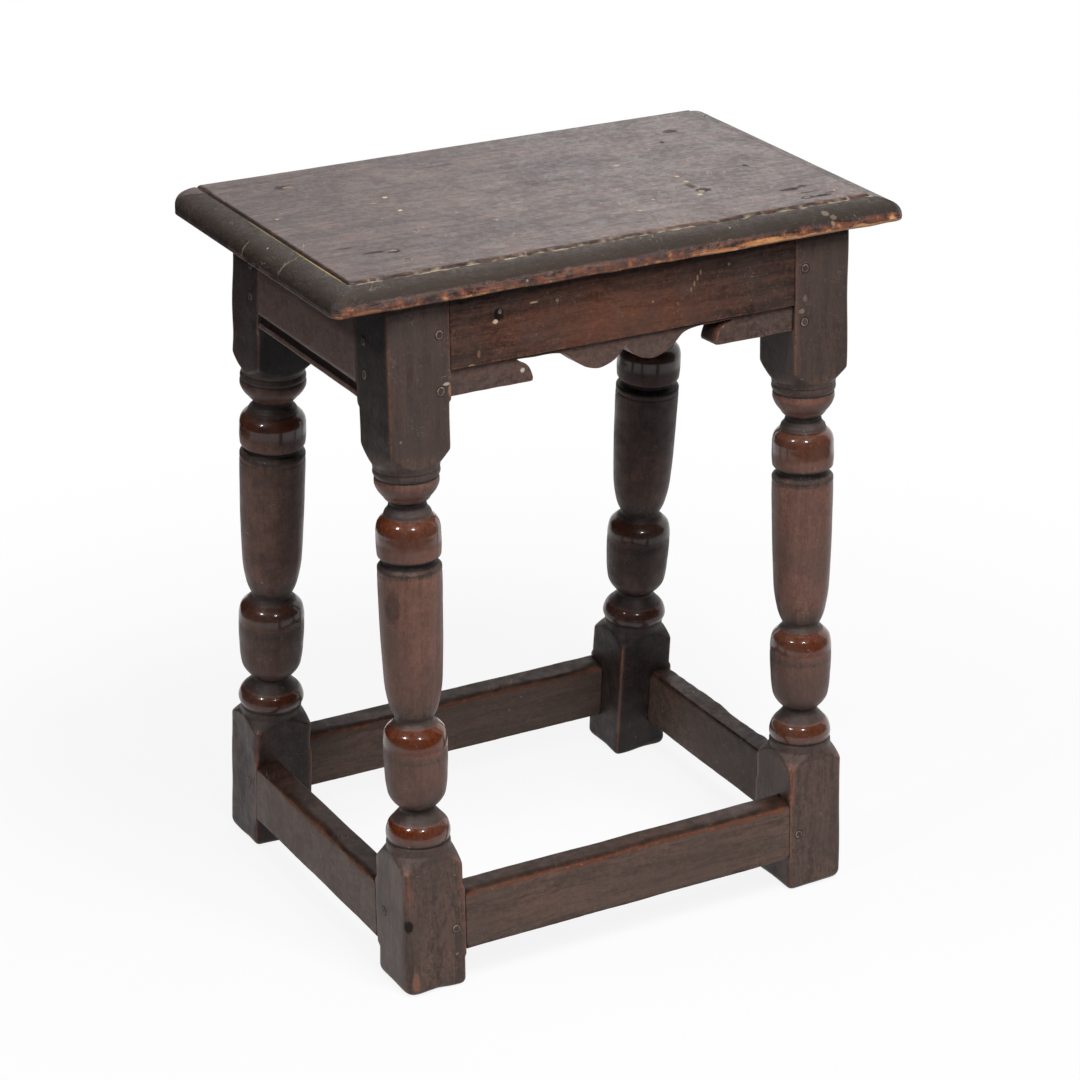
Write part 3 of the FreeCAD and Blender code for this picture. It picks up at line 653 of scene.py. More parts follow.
def leg_marks(side, end, grime_and_shade, side_shade_at_top, surface):
    """The four marks: rub, old dirt with painted shade, polish with painted reflection, and the
    film.
    """
    angle, height, at, square, turning, flush, near_arris = surface
    block = smooth(turning, 23.7, 26.0)
    arris = np.exp(-((near_arris / (1.7 + 0.7 * smooth(height, 360, 400))) ** 2)) * block
    window = np.exp(-(np.linspace(-2, 2, 25) ** 2))
    fine = np.arange(80.0, 440.0, 1.0)
    around = np.convolve(np.minimum(turned_radius(fine), HALF_LEG), window / window.sum(), "same")
    proud = np.minimum(turned_radius(at), HALF_LEG) - np.interp(at, fine, around)
    rub = np.maximum(arris, np.clip(proud / 2.0, 0, 1) * (1 - block) * 0.55)
    # Partly painted highlight: bare rub along the arched edge of each block's shoulder, for its
    # glint.
    seam_rub_and_glint = np.exp(-(((square - turning) / 0.8) ** 2)) * smooth(turning, 24.0, 25.0)
    rub = np.maximum(rub, 0.45 * seam_rub_and_glint)
    rub *= 1 - 0.85 * flush * (near_arris < 6) * (corner_sharpness(angle, height) > 80)
    rub = np.maximum(rub, 0.5 * np.exp(-(((at - 322.2) / 0.5) ** 2)))

    film = banded(at, [(low, low + 1.4, high - 2.4, high, share) for low, high, share in FILM_AND_SHEEN_BANDS])
    soot_and_shade = np.clip(-proud / 1.4, 0, 1) * (1 - block) * (1 - 0.8 * film)
    soot_and_shade = np.maximum(soot_and_shade, banded(at, [
        (low - 0.4, low + 0.4, high - 0.4, high + 0.4, depth) for low, high, depth in GROOVES]))
    # Painted shade: the back legs, under the seat, are darker all over and most at the feet; every
    # leg is darker at its top, under the seat.
    leg_shade = grime_and_shade * (1.2 - 0.2 * smooth(height, 95, 120)) + 0.10 * smooth(height, 392, 430)
    soot_and_shade = np.maximum(soot_and_shade, leg_shade)
    soot_and_shade = np.maximum(soot_and_shade, banded(at, [(322.6, 324.0, 333.0, 335.0, 0.5)]))
    # Painted shade: the face of each block turned from the light is darker, more so near the top.
    side_from_light = -SIGNS[end] * np.cos(angle) if side == "front" else np.sin(angle)
    side_from_light = smooth(side_from_light, 0.60, 0.78) * block
    soot_and_shade = (soot_and_shade + side_from_light * (0.10 + side_shade_at_top * smooth(height, 380, 420))) * (1 - 0.8 * arris)

    # Painted reflection: the upper arrises of the feet are painted amber, as polish looks where it
    # mirrors a dark room.
    foot_arris_reflection = np.exp(-((near_arris / 3.4) ** 2)) * smooth(height, 56, 88)
    foot_arris_reflection *= 1 - smooth(height, 104, 112)
    film = np.maximum(film, 0.15 * (1 - smooth(height, 92, 104)) * (1 - arris))
    film = np.maximum(film, 0.85 * smooth(height, 402, 412) * (1 - 0.8 * arris))
    # Painted reflection on the arrises and the polished bands: amber stands for polish and for the
    # dark room the wax mirrors.
    polish_and_painted_light = 0.55 * arris * (1 - smooth(height, 104, 420) * 0.6)
    polish_and_painted_light = np.maximum(polish_and_painted_light, 0.92 * foot_arris_reflection * block)
    polish_and_painted_light = np.maximum(polish_and_painted_light, banded(at, [
        (low, full, high - 0.8, high + 0.8, share) for low, full, high, share in POLISH_AND_REFLECTION_BANDS]))
    return {"rub": rub, "soot_and_shade": soot_and_shade, "polish_and_painted_light": polish_and_painted_light * (1 - 0.25 * grime_and_shade),
            "dust": film * (1 - 0.8 * foot_arris_reflection)}


def turned_leg(side, end, seed, grime_and_shade, side_shade_at_top, shoulder, girth, moved):
    """Leg skin; shoulder is the slope past the turning, moved shifts its parts along the leg."""
    grid, *surface = leg_surface(seed, shoulder, girth, moved)
    marks = leg_marks(side, end, grime_and_shade, side_shade_at_top, surface)
    return skin(f"turned_leg_{side}_{end}", cornered(grid, side, end), marks, "leg_oak",
                f"leg_{side}_{end}")


# The fourth and fifth numbers are each leg's painted shade: overall, on the back legs under the
# seat, and on the face of the block turned from the light.
legs = [
    turned_leg("front", "left", 11, 0.0, 0.46, 0.75, 0.0,
               (-2.5, -2.0, -1.5, -4.0, -3.0, -4.0, -3.0)),
    turned_leg("front", "right", 23, 0.0, 0.10, 0.85, 0.0,
               (0.0, 0.0, 0.0, 0.0, 0.0, 0.0, 0.0)),
    turned_leg("back", "left", 37, 0.44, 0.46, 0.9, 0.085,
               (0.0, -1.0, 1.5, 3.0, -1.0, -4.0, -4.0)),
    turned_leg("back", "right", 53, 0.54, 0.46, 0.9, 0.095,
               (0.0, 0.0, 3.5, -3.0, -3.0, -3.0, -3.0)),
]
print("legs:", [(leg.name, len(leg.data.polygons)) for leg in legs])

# %% [markdown]
# The seat is one board with a thumbnail moulding on three edges. A path runs round its outline,
# and rings of it step inwards: each point is the shrunken rectangle's point plus the corner
# radius times the outward direction. The height of the top then depends only on how far in a
# point lies. The moulding is a quarter ellipse that ends at a small sunk step, the quirk.

# %% The rings of the seat
CORNER = 9.0
RUN, SINK, DROP = 21.0, 1.5, 13.0


def spread(half):
    """Places along one side from -1 to 1, close together within 28 mm of each end."""
    further = np.linspace(28, half, int((half - 28) / 3.2))
    low = -half + np.concatenate([np.arange(0, 28, 0.9), further])
    return np.concatenate([low, -low[-2::-1]]) / half


def seat_path():
    """Columns round the seat: the corner each point hangs on, and its outward direction."""
    long = spread(SEAT_HALF_LENGTH - CORNER)
    short = spread(SEAT_HALF_WIDTH - CORNER)
    turn = np.linspace(0, np.pi / 2, 9)[1:-1]
    sides = [(long, -1.0, -np.pi / 2), (short, 1.0, 0.0),
             (-long, 1.0, np.pi / 2), (-short, -1.0, np.pi)]
    corner, facing = [], []
    for number, (places, fixed, heading) in enumerate(sides):
        other = np.full_like(places, fixed)
        corner.append(np.stack([places, other] if number % 2 == 0 else [other, places], axis=-1))
        facing.append(np.full_like(places, heading))
        corner.append(np.repeat(corner[-1][-1:], len(turn), axis=0))
        facing.append(heading + turn)
    facing = np.concatenate(facing)
    return np.concatenate(corner), np.stack([np.cos(facing), np.sin(facing)], axis=-1)


def seat_ring(corner, outward, inset):
    """Rectangle shrunk by the inset, its corners swept with what is left of their radius."""
    left_over = max(CORNER - inset, 0.0)
    half = np.array([SEAT_HALF_LENGTH, SEAT_HALF_WIDTH]) - inset - left_over
    return corner * np.maximum(half, 0.0) + left_over * outward


def seat_height(plan, inset):
    """Height over the board's underside: quarter ellipse, quirk and flat, with a round back."""
    moulded = np.where(plan[..., 1] < 0, inset, SEAT_HALF_LENGTH - abs(plan[..., 0]))
    share = np.clip(moulded / RUN, 0, 1)
    thumb = SEAT_THICKNESS - SINK - DROP * (1 - np.sqrt(1 - (1 - share) ** 2))
    flat = SEAT_THICKNESS - SINK * (1 - smooth(moulded, RUN, RUN + 0.8))
    top = np.where(moulded < RUN, thumb, flat)
    top -= 1.1 * np.exp(-(((moulded - RUN) / 0.9) ** 2))
    behind = np.clip(3.0 - (SEAT_HALF_WIDTH - plan[..., 1]), 0, 3)
    return np.minimum(top, SEAT_THICKNESS - (3.0 - np.sqrt(9.0 - behind**2))), moulded


# %% [markdown]
# Wear is strongest along the front, where legs have brushed the moulding and its lower arris is
# rubbed to bare, uneven wood. The front outline is let in by a slow drift, chips are bitten out
# of the quirk's edge, and the lower arris is rounded by a radius that changes along the board.

# %% The shape of the seat board
KNOCKS, CHIPS = 60, 46
SIDE_ROWS, ROUND_ROWS = 7, 6
SEAT_INSETS = np.concatenate([
    [0.0, 0.12, 0.3, 0.6, 1.0, 1.5, 2.1, 2.8], np.arange(3.6, 19.0, 0.95),
    np.arange(19.0, 23.8, 0.3), [24.4, 25.4, 26.8], np.linspace(28.5, SEAT_HALF_WIDTH, 42),
])


def seat_top(corner, outward, front, rim):
    """Rings of the worn top from the edge inwards, and how far in each point counts as."""
    let_in = front * (0.55 + 0.5 * drift(rim, 90, 3) + 0.25 * drift(rim, 22, 4)).clip(0, 1.6)
    let_in += (1 - front) * 0.15
    waver = front * (0.7 * drift(rim, 45, 12) + 0.35 * drift(rim, 12, 13))
    rings, moulds = [], []
    for inset in SEAT_INSETS:
        ring = seat_ring(corner, outward, inset)
        height, moulded = seat_height(ring, inset + waver)
        plan = ring - outward * (let_in * np.clip(1 - inset / 24, 0, 1))[:, None]
        rings.append(np.column_stack([plan, height]))
        moulds.append(moulded)
    top, moulded = np.stack(rings), np.stack(moulds)

    rng = np.random.default_rng(5)
    knock = np.stack([rng.uniform(-205, 205, KNOCKS), rng.uniform(-112, 128, KNOCKS),
                      np.full(KNOCKS, SEAT_THICKNESS)], axis=-1)
    pressed = dents(top, knock, rng.uniform(2.0, 7.0, KNOCKS), rng.uniform(0.08, 0.4, KNOCKS))
    cup = 0.14 + 0.25 * (1 + drift(top, 170, 6)) * 0.5 + 0.1 * drift(top, 40, 7).clip(0, 1)
    chips = np.stack([rng.uniform(-215, 215, CHIPS), np.full(CHIPS, -SEAT_HALF_WIDTH + RUN + 0.6),
                      np.full(CHIPS, 17.4)], axis=-1)
    bitten = dents(top, chips, rng.uniform(1.0, 3.6, CHIPS), rng.uniform(0.2, 1.1, CHIPS))
    hollow = cup + pressed * smooth(moulded, RUN - 2, RUN + 3)
    top[..., 2] -= hollow * smooth(top[..., 2], 4.0, 9.0) + bitten
    return top, moulded


def seat_below(edge, corner, outward, front, rim):
    """Rows from the top's edge down its side, round the worn lower arris and under the board."""
    round_by = 1.0 + front * (1.2 + 0.9 * drift(rim, 35, 8) + 0.5 * drift(rim, 9, 9)).clip(0, 2.3)
    side_foot = np.minimum(round_by, edge[:, 2])
    rows = []
    for t in np.linspace(0.15, 1.0, SIDE_ROWS):
        rows.append(np.column_stack([edge[:, :2], edge[:, 2] + t * (side_foot - edge[:, 2])]))
    for a in np.linspace(0, np.pi / 2, ROUND_ROWS + 1)[1:]:
        inward = (round_by * (1 - np.cos(a)))[:, None]
        rows.append(np.column_stack([edge[:, :2] - outward * inward, side_foot * (1 - np.sin(a))]))
    for inset in (5.0, 9.0, 20.0, 60.0, 100.0, SEAT_HALF_WIDTH):
        rows.append(np.column_stack([seat_ring(corner, outward, inset), np.zeros(len(rim))]))
    return np.stack(rows)


# %% [markdown]
# The finish of the seat tells the same story. The front slope of the moulding is black with old
# dirt above and rubbed red, then bare, below, in ragged patches. Broken scales of old polish, pale
# as cream, cling along the front quirk. The ends, the left end most, and the underside are painted
# darker, as shade.

# %% The marks of the seat board
def seat_wear(grid, top, moulded, outward, front):
    """Rub, dirt with painted shade, and film from the height over the underside and the distance
    to the quirk.
    """
    rows = len(top)
    under = rows + SIDE_ROWS + ROUND_ROWS

    def near(distance, width):
        """Bell curve across the moulding, centred at a distance inside the quirk."""
        return np.exp(-(((moulded[::-1] - RUN - distance) / width) ** 2))

    low_line = 5.0 + 1.6 * drift(grid, 16, 14) + 1.2 * drift(grid, 6, 19)
    low_line = 1 - smooth(grid[..., 2], 1.8, low_line)
    face = 0.62 + 0.32 * drift(grid, 9, 23) + 0.16 * smooth(grid[..., 0], 60, 150)
    face *= 1 - smooth(grid[..., 2], 4.8, 10.4 + 2.0 * drift(grid, 30, 15))
    bared = 0.35 + front * (0.62 + 0.3 * drift(grid, 28, 16) + 0.5 * smooth(grid[..., 0], 20, 110))
    rub = np.maximum(low_line * bared, face * front)
    rub[under:] = 0
    chipped = 0.45 + front * (0.3 + 0.5 * drift(grid[:rows], 14, 17))
    lips = np.maximum(near(1.1, 1.1) * (0.30 + 0.15 * front),
                      near(-1.5, 0.8 + 0.5 * front) * chipped)
    rub[:rows] = np.maximum(rub[:rows], lips)

    soot_and_shade = np.zeros(grid.shape[:2])
    # Painted shade: both ends of the moulding are darker, the left end, turned from the light,
    # most.
    ends = 0.92 * np.clip(-outward[:, 0], 0, 1) + 0.5 * np.clip(outward[:, 0], 0, 1)
    slope = ends + 0.95 * front * smooth(top[::-1][..., 2], 6.0, 10.5)
    soot_and_shade[:rows] = near(-0.2, 0.9) * (1.0 - 0.35 * front) + (moulded[::-1] < RUN) * slope
    # Painted shade on the underside of the board.
    soot_and_shade[under + 1:] = 0.6

    raised = grid[:rows] + np.array([0, 0, LEG_TOP])
    film = np.zeros(grid.shape[:2])
    broken = smooth(drift(raised, 9, 18) + 0.4 * drift(raised, 60, 20), -0.35, 0.25)
    wander = 0.7 * drift(raised, 6, 21)
    width = (1.5 + 1.1 * drift(raised, 8, 22)).clip(0.5, 3.0)
    film[:rows] = near(-1.5 - wander, width) * front * broken
    return {"rub": rub * (1 - 0.6 * film), "soot_and_shade": soot_and_shade * (1 - 0.95 * film), "dust": film}


def oak_seat():
    """Seat skin: top rings from the middle outwards, then the edge and the underside."""
    corner, outward = seat_path()
    front = np.clip(-outward[:, 1], 0, 1)
    rim = np.column_stack([seat_ring(corner, outward, 0.0), np.zeros(len(corner))])
    top, moulded = seat_top(corner, outward, front, rim)
    grid = np.concatenate([top[::-1], seat_below(top[0], corner, outward, front, rim)])
    marks = seat_wear(grid, top, moulded, outward, front)
    return skin("oak_seat", grid + np.array([0, 0, LEG_TOP]), marks, "seat_oak", "seat_board",
                capped=False)


seat = oak_seat()
print("seat faces:", len(seat.data.polygons))

# %% [markdown]
# A long apron is a board whose lower edge was sawn to a scroll. The edge is one path: along the
# hooked strip, up its nose into a small nick, over the arch, down round the lobe and up to the
# point in the middle, then the same again mirrored. Each point of the path is joined by straight
# rows to a partner on the moulding line above it, so the whole face is one grid. Behind the nick
# the partners fan out, because a row may not cross the open notch.

# %% The scroll's path
def chain(points, spacing):
    """Catmull-Rom curve through the points: cubic from four neighbours, even in each span."""
    points = np.array(points, float)
    padded = np.vstack([2 * points[0] - points[1], points, 2 * points[-1] - points[-2]])
    parts = []
    for a, b, c, d in zip(padded, padded[1:], padded[2:], padded[3:]):
        steps = max(int(np.linalg.norm(c - b) / spacing), 1)
        t = np.linspace(0, 1, steps, endpoint=False)[:, None]
        parts.append(0.5 * (2 * b + (c - a) * t + (2 * a - 5 * b + 4 * c - d) * t**2
                            + (3 * b - a - 3 * c + d) * t**3))
    return np.vstack(parts)


def scroll_path():
    """Half path from the leg to the middle: places (x, height) and each one's partner x."""
    strip = chain([(140.0, 0.0), (139.4, 0.0), (138.0, 0.0), (75.8, 0.0)], 1.8)
    nose = chain([(75.0, 0.3), (74.5, 2.2), (75.6, 6.6), (77.9, 11.0),
                  (81.6, 13.8), (86.5, 15.4)], 1.0)
    nick = chain([(87.6, 15.9), (88.8, 16.6), (87.6, 17.2)], 0.7)
    arch = chain([(86.1, 17.4), (72.8, 16.9), (57.4, 16.7), (47.8, 14.0), (40.5, 8.05), (32.0, 2.4),
                  (22.4, 0.0), (13.6, 1.5), (7.6, 4.8), (2.6, 9.8), (0.0, 13.0)], 1.1)
    partner_arch = arch[:, 0] + 5.9 * smooth(arch[:, 0], 68.0, 86.1)
    partner = np.concatenate([
        np.interp(strip[:, 0], [75.8, 140.0], [106.0, 140.0]),
        np.linspace(106.0, 98.5, len(nose), endpoint=False),
        np.linspace(98.5, 92.4, len(nick), endpoint=False),
        partner_arch,
    ])
    path = np.vstack([strip, nose, nick, arch])
    whole = np.vstack([path, [[0.0, 13.0]], path[::-1] * [-1, 1]])
    return whole, np.concatenate([partner, [0.0], -partner[::-1]])


# %% [markdown]
# The section of the apron is a closed loop at every point of that path: down the outer face, in
# over the step to the sunk band, down the band, round the lower edge, up the inner face and back
# across the top. The lower arrises are rounded by moving a little way into the wood, along the
# path's inward normal.

# %% A long apron
SCROLL_BAND = 19.5
SUNK = 2.5
LOST_PIN = np.array([[-101.6, -HALF_LEG, 499.2]])


def apron_loop(path, partner, inward, ease):
    """Loops of the section: face, step, sunk band, worn lower edge, inner face and top."""
    end_ease = 0.35 * (1 - smooth(SPAN_HALF_LENGTH - abs(path[:, 0]), 0.0, 0.9))
    line_z = LONG_APRON_LOW + SCROLL_BAND
    out_y, band_y, in_y = -HALF_LEG, -HALF_LEG + SUNK, 0.0
    rows = []

    def row(x, y, z):
        """Add one row of the loop, with its ends let in a little at the legs."""
        y = np.broadcast_to(np.asarray(y, float), x.shape)
        y = y + end_ease * (y < -HALF_LEG / 2)
        rows.append(np.stack([x, y, np.broadcast_to(z, x.shape)], axis=-1))

    for z in np.linspace(LEG_LENGTH - 1.3, line_z + 1.2, 36):
        row(partner, out_y, z)
    for a in np.linspace(0, np.pi / 2, 4):
        row(partner, out_y + 0.8 * (1 - np.cos(a)), line_z + 0.8 * (1 - np.sin(a)))
    row(partner, band_y - 0.4, line_z)
    row(partner, band_y, line_z - 0.25)
    path_z = LONG_APRON_LOW + path[:, 1]
    edge_x, edge_z = path[:, 0] + inward[:, 0] * ease, path_z + inward[:, 1] * ease
    for t in np.linspace(0.08, 1.0, 11):
        row(partner + t * (edge_x - partner), band_y, line_z - 0.25 + t * (edge_z - line_z + 0.25))
    for a in np.linspace(0, np.pi / 2, 5)[1:]:
        move = ease * (1 - np.sin(a))
        row(path[:, 0] + inward[:, 0] * move, band_y + ease * (1 - np.cos(a)),
            path_z + inward[:, 1] * move)
    for y in (-16.0, -10.0, -5.0, -1.0):
        row(path[:, 0], y, path_z)
    row(edge_x, in_y, edge_z)
    for t in np.linspace(0.1, 1.0, 8):
        row(edge_x + t * (partner - edge_x), in_y, edge_z + t * (line_z - edge_z))
    for z in np.linspace(line_z + 8, LEG_LENGTH - 0.1, 6):
        row(partner, in_y, z)
    row(partner, -12.0, LEG_LENGTH - 0.75)
    return np.stack(rows, axis=1)


def apron_marks(loop, path, outer):
    """Rubbed step and lower arris, matt band, dirt at the joints, painted shade at the top and on
    the inner face, and the waxed middle, partly a painted highlight.
    """
    x, y, z = loop[..., 0], loop[..., 1], loop[..., 2]
    line_z = LONG_APRON_LOW + SCROLL_BAND
    step = np.exp(-(((z - line_z - 0.4) / 1.1) ** 2)) * outer * (y < -HALF_LEG + SUNK - 0.8)
    edge = np.stack([path[:, 0], LONG_APRON_LOW + path[:, 1]], axis=-1)[:, None]
    low_arris = np.exp(-((np.linalg.norm(loop[..., [0, 2]] - edge, axis=-1) / 1.6) ** 2)) * outer
    band = ((z < line_z) & (y > -HALF_LEG + SUNK - 0.5)).astype(float)
    quirk = band * np.exp(-np.abs(z - line_z) / 0.9)
    joint = np.exp(-(SPAN_HALF_LENGTH - abs(x)) / 0.9)
    # Painted shade: darker at the top under the seat and, in the mark below, on the inner face.
    soot_and_shade = 0.5 * quirk + 0.9 * joint + 0.5 * smooth(z, 508, 520) + 0.24 * smooth(x, 20, 120)
    # The waxed middle: partly polish, partly a painted highlight.
    waxed = np.exp(-(((x + 10) / 75) ** 2)) * smooth(z, line_z - 2, line_z + 3)
    return {
        "rub": np.maximum(0.75 * step, 0.9 * low_arris),
        "dust": 0.55 * band * (1 - quirk),
        "soot_and_shade": np.clip(soot_and_shade, 0, 1) + 0.35 * (1 - outer),
        "polish_and_painted_light": 0.42 * outer * (1 - band) * waxed * (1 - 0.8 * smooth(z, 484, 508)),
    }


def scrolled_apron(side, seed):
    """Apron skin: the section carried along the scroll path, hollowed and leaned into the splay."""
    path, partner = scroll_path()
    heading = np.gradient(path, axis=0)
    heading /= np.linalg.norm(heading, axis=1, keepdims=True) + 1e-9
    inward = np.stack([heading[:, 1], -heading[:, 0]], axis=-1)
    inward[:, 1] = np.abs(inward[:, 1]) * 0.6 + 0.4
    places = np.column_stack([path[:, 0], np.zeros(len(path)), path[:, 1]])
    loop = apron_loop(path, partner, inward, 0.8 + 0.45 * drift(places, 16, seed))
    outer = (loop[..., 1] < -HALF_LEG / 2).astype(float)
    inside = smooth(SPAN_HALF_LENGTH - abs(loop[..., 0]), 0.0, 14.0)
    hollowed = 0.12 + 0.1 * drift(loop, 60, seed + 1) + 0.05 * drift(loop, 12, seed + 2)
    loop[..., 1] += outer * inside * hollowed
    if side == "front":
        loop[..., 1] += dents(loop, LOST_PIN, [3.6], [2.6]) * outer
    marks = apron_marks(loop, path, outer)
    grid = leaned(loop)
    grid[..., 2] = np.minimum(grid[..., 2], LEG_TOP - 0.05)
    return skin(f"scrolled_apron_{side}", cornered(grid, side, "left"), marks, "apron_oak",
                f"apron_{side}")


long_aprons = [scrolled_apron("front", 71), scrolled_apron("back", 83)]
print("long aprons:", [len(piece.data.polygons) for piece in long_aprons])

# %% [markdown]
# The short aprons and the stretchers are plainer: one section carried along a straight line. Near
# its ends each is let in by a third of a millimetre, which leaves the fine dark line that shows
# where a shoulder meets a leg. The shoulders of the end rails follow the lean of the legs, so
# their length grows towards the floor.

# %% Rails with one section
RAIL_REACH = 200.0
TOP_GAP = 0.05


def end_line(count):
    """Places from 0 to 1 along a rail, close together at its two ends."""
    tight = np.array([0.0, 0.0012, 0.003, 0.006, 0.012])
    return np.concatenate([tight, np.linspace(0.02, 0.98, count), 1 - tight[::-1]])


def between_legs(t, across, up):
    """Points between the two leaning legs of one end, and their distance from the nearer leg."""
    start = shoulder_y(up)
    y = start + t * (-2 * start)
    from_end = np.minimum(t, 1 - t) * RAIL_REACH + 0 * y
    return np.stack([across + 0 * y, y, up + 0 * y], axis=-1), from_end


def sunk(loop, from_end, base, *drifts):
    """Depth of a rail's face: a third of a millimetre at its shoulders, then a base and drifts."""
    wander = base + sum(share * drift(loop, length, seed) for share, length, seed in drifts)
    return 0.35 * (1 - smooth(from_end, 0.0, 0.9)) + smooth(from_end, 0, 14) * wander


def hollow_section():
    """Section of a short apron (across, up, outward across, outward up): flat face, hollow, bead,
    underside, inner face and top."""
    outer, inner, low = -FRAME_HALF_LENGTH, -FRAME_HALF_LENGTH + HALF_LEG, SHORT_APRON_LOW
    face = [(outer, z, -1, 0) for z in np.linspace(LEG_TOP - TOP_GAP, low + 11.4, 24)]
    angles = np.linspace(0.12, np.pi - 0.12, 11)
    hollow = [(outer + 3.0 * np.sin(a), low + 7.75 + 3.25 * np.cos(a), -1, 0) for a in angles]
    bead = [(outer + 1.6 - 1.6 * np.sin(a), low + 2.2 + 2.1 * np.cos(a), -np.sin(a), np.cos(a))
            for a in np.linspace(0.1, np.pi - 0.4, 8)]
    under = [(x, low, 0, -1) for x in np.linspace(outer + 3.0, inner - 1.5, 5)]
    back = [(inner, z, 1, 0) for z in np.linspace(low + 1.5, LEG_TOP - 1.0, 12)]
    top = [(inner - 4.0, LEG_TOP - TOP_GAP, 0, 0)]
    return np.array(face + hollow + bead + under + back + top, float)


def short_apron(end, seed):
    """Short apron skin with a painted shadow in the hollow above a worn bead, and painted light on
    its face.
    """
    across, up, way_across, way_up = hollow_section().T
    loop, from_end = between_legs(end_line(90)[:, None], across, up)
    let_in = sunk(loop, from_end, 0.1, (0.09, 55, seed), (0.04, 11, seed + 1))
    loop[..., 0] -= let_in * way_across
    loop[..., 2] -= let_in * way_up
    rise = up[None] - SHORT_APRON_LOW + 0 * from_end
    outer = across[None] + 0 * from_end < -FRAME_HALF_LENGTH + 6
    in_hollow = ((rise > 4.6) & (rise < 11.2) & outer).astype(float)
    bead = np.exp(-(((rise - 3.4) / 1.6) ** 2)) * outer
    lip = np.exp(-(((rise - 11.6) / 0.9) ** 2)) * outer
    # Painted shade: the hollow nearly black, the top under the seat and the inner face darker; the
    # joints are dark.
    soot_and_shade = 0.95 * in_hollow + 0.9 * np.exp(-from_end / 0.9) + 0.2 * smooth(up[None], 505, 518)
    # Painted light: the face outside the hollow is made lighter and warmer, as lit; it also stands
    # for its film of old polish.
    marks = {
        "rub": np.maximum(0.7 * bead, 0.6 * lip),
        "soot_and_shade": np.clip(soot_and_shade + 0.4 * ~outer, 0, 1),
        "polish_and_painted_light": 0.35 * outer * (1 - in_hollow),
        "dust": 1.0 * outer * (1 - in_hollow),
    }
    return skin(f"short_apron_{end}", cornered(loop, "front", end), marks, "apron_oak",
                f"apron_{end}")


short_aprons = [short_apron("left", 91), short_apron("right", 97)]
print("short aprons:", [len(piece.data.polygons) for piece in short_aprons])

# %% [markdown]
# A stretcher is a plain bar, but its upper outer arris carries all the wear: shoes have rubbed it
# into a long uneven round. Its section is a rectangle whose four corners each have a radius of
# their own at every point along the bar: the corner's centre, moved in by the radius, plus the
# radius times the sine and cosine.

# %% Stretchers
STRETCHER_THICKNESS = 20.0
BAR_MIDDLE = np.array([STRETCHER_THICKNESS / 2, 50.0])
BAR_HALF = np.array([STRETCHER_THICKNESS / 2, 23.5])


def bar_section(low_across, high_across, low, high, radii):
    """Loop of a rectangle with four changing corner radii, an array (places, 4)."""
    turn = np.linspace(0, np.pi / 2, 7)
    corners = [(low_across, high, 1, -1, np.pi), (high_across, high, -1, -1, np.pi / 2),
               (high_across, low, -1, 1, 0.0), (low_across, low, 1, 1, -np.pi / 2)]
    arcs = []
    for number, (x, z, in_x, in_z, begin) in enumerate(corners):
        r = radii[:, number:number + 1]
        a = begin - turn[None]
        arcs.append(np.stack([x + r * (in_x + np.cos(a)), z + r * (in_z + np.sin(a))], axis=-1))
    loop = []
    for arc, following in zip(arcs, arcs[1:] + arcs[:1]):
        loop.append(arc)
        t = np.linspace(0, 1, 9)[1:-1][None, :, None]
        loop.append(arc[:, -1:] + t * (following[:, :1] - arc[:, -1:]))
    return np.concatenate(loop, axis=1)


def worn_radii(places, seed, worn):
    """Radii of the four arrises: about 1.5 mm, and a drifting 2.5 to 9 mm on the worn one."""
    radii = np.repeat(1.5 + 0.3 * drift(places, 60, seed)[:, None], 4, axis=1)
    rubbed_to = 5.4 + 2.2 * drift(places, 75, seed + 1) + 0.9 * drift(places, 14, seed + 2)
    radii[:, worn] = rubbed_to.clip(2.5, 9.0)
    return radii


def stretcher_marks(section, from_end, worn_across):
    """Rub along the upper worn arris, dirt at the shoulders, and painted shade: a darker, warmer
    top and a darker underside.
    """
    across, up = section[..., 0], section[..., 1]
    away = np.hypot(across - worn_across, up - STRETCHER_HIGH)
    top = smooth(up, STRETCHER_HIGH - 4.5, STRETCHER_HIGH - 1.0)
    rub = 0.95 * np.exp(-(((up - STRETCHER_HIGH + 3.6) / 1.3) ** 2)) * (away < 12)
    under = 1 - smooth(up, STRETCHER_LOW, STRETCHER_LOW + 6)
    # Painted shade: the top and the underside are darker; the shoulders are dark joints.
    soot_and_shade = 0.85 * np.exp(-from_end / 1.2) + 0.5 * under + 0.66 * top
    return {"rub": rub, "soot_and_shade": np.clip(soot_and_shade, 0, 1), "polish_and_painted_light": 0.55 * top}


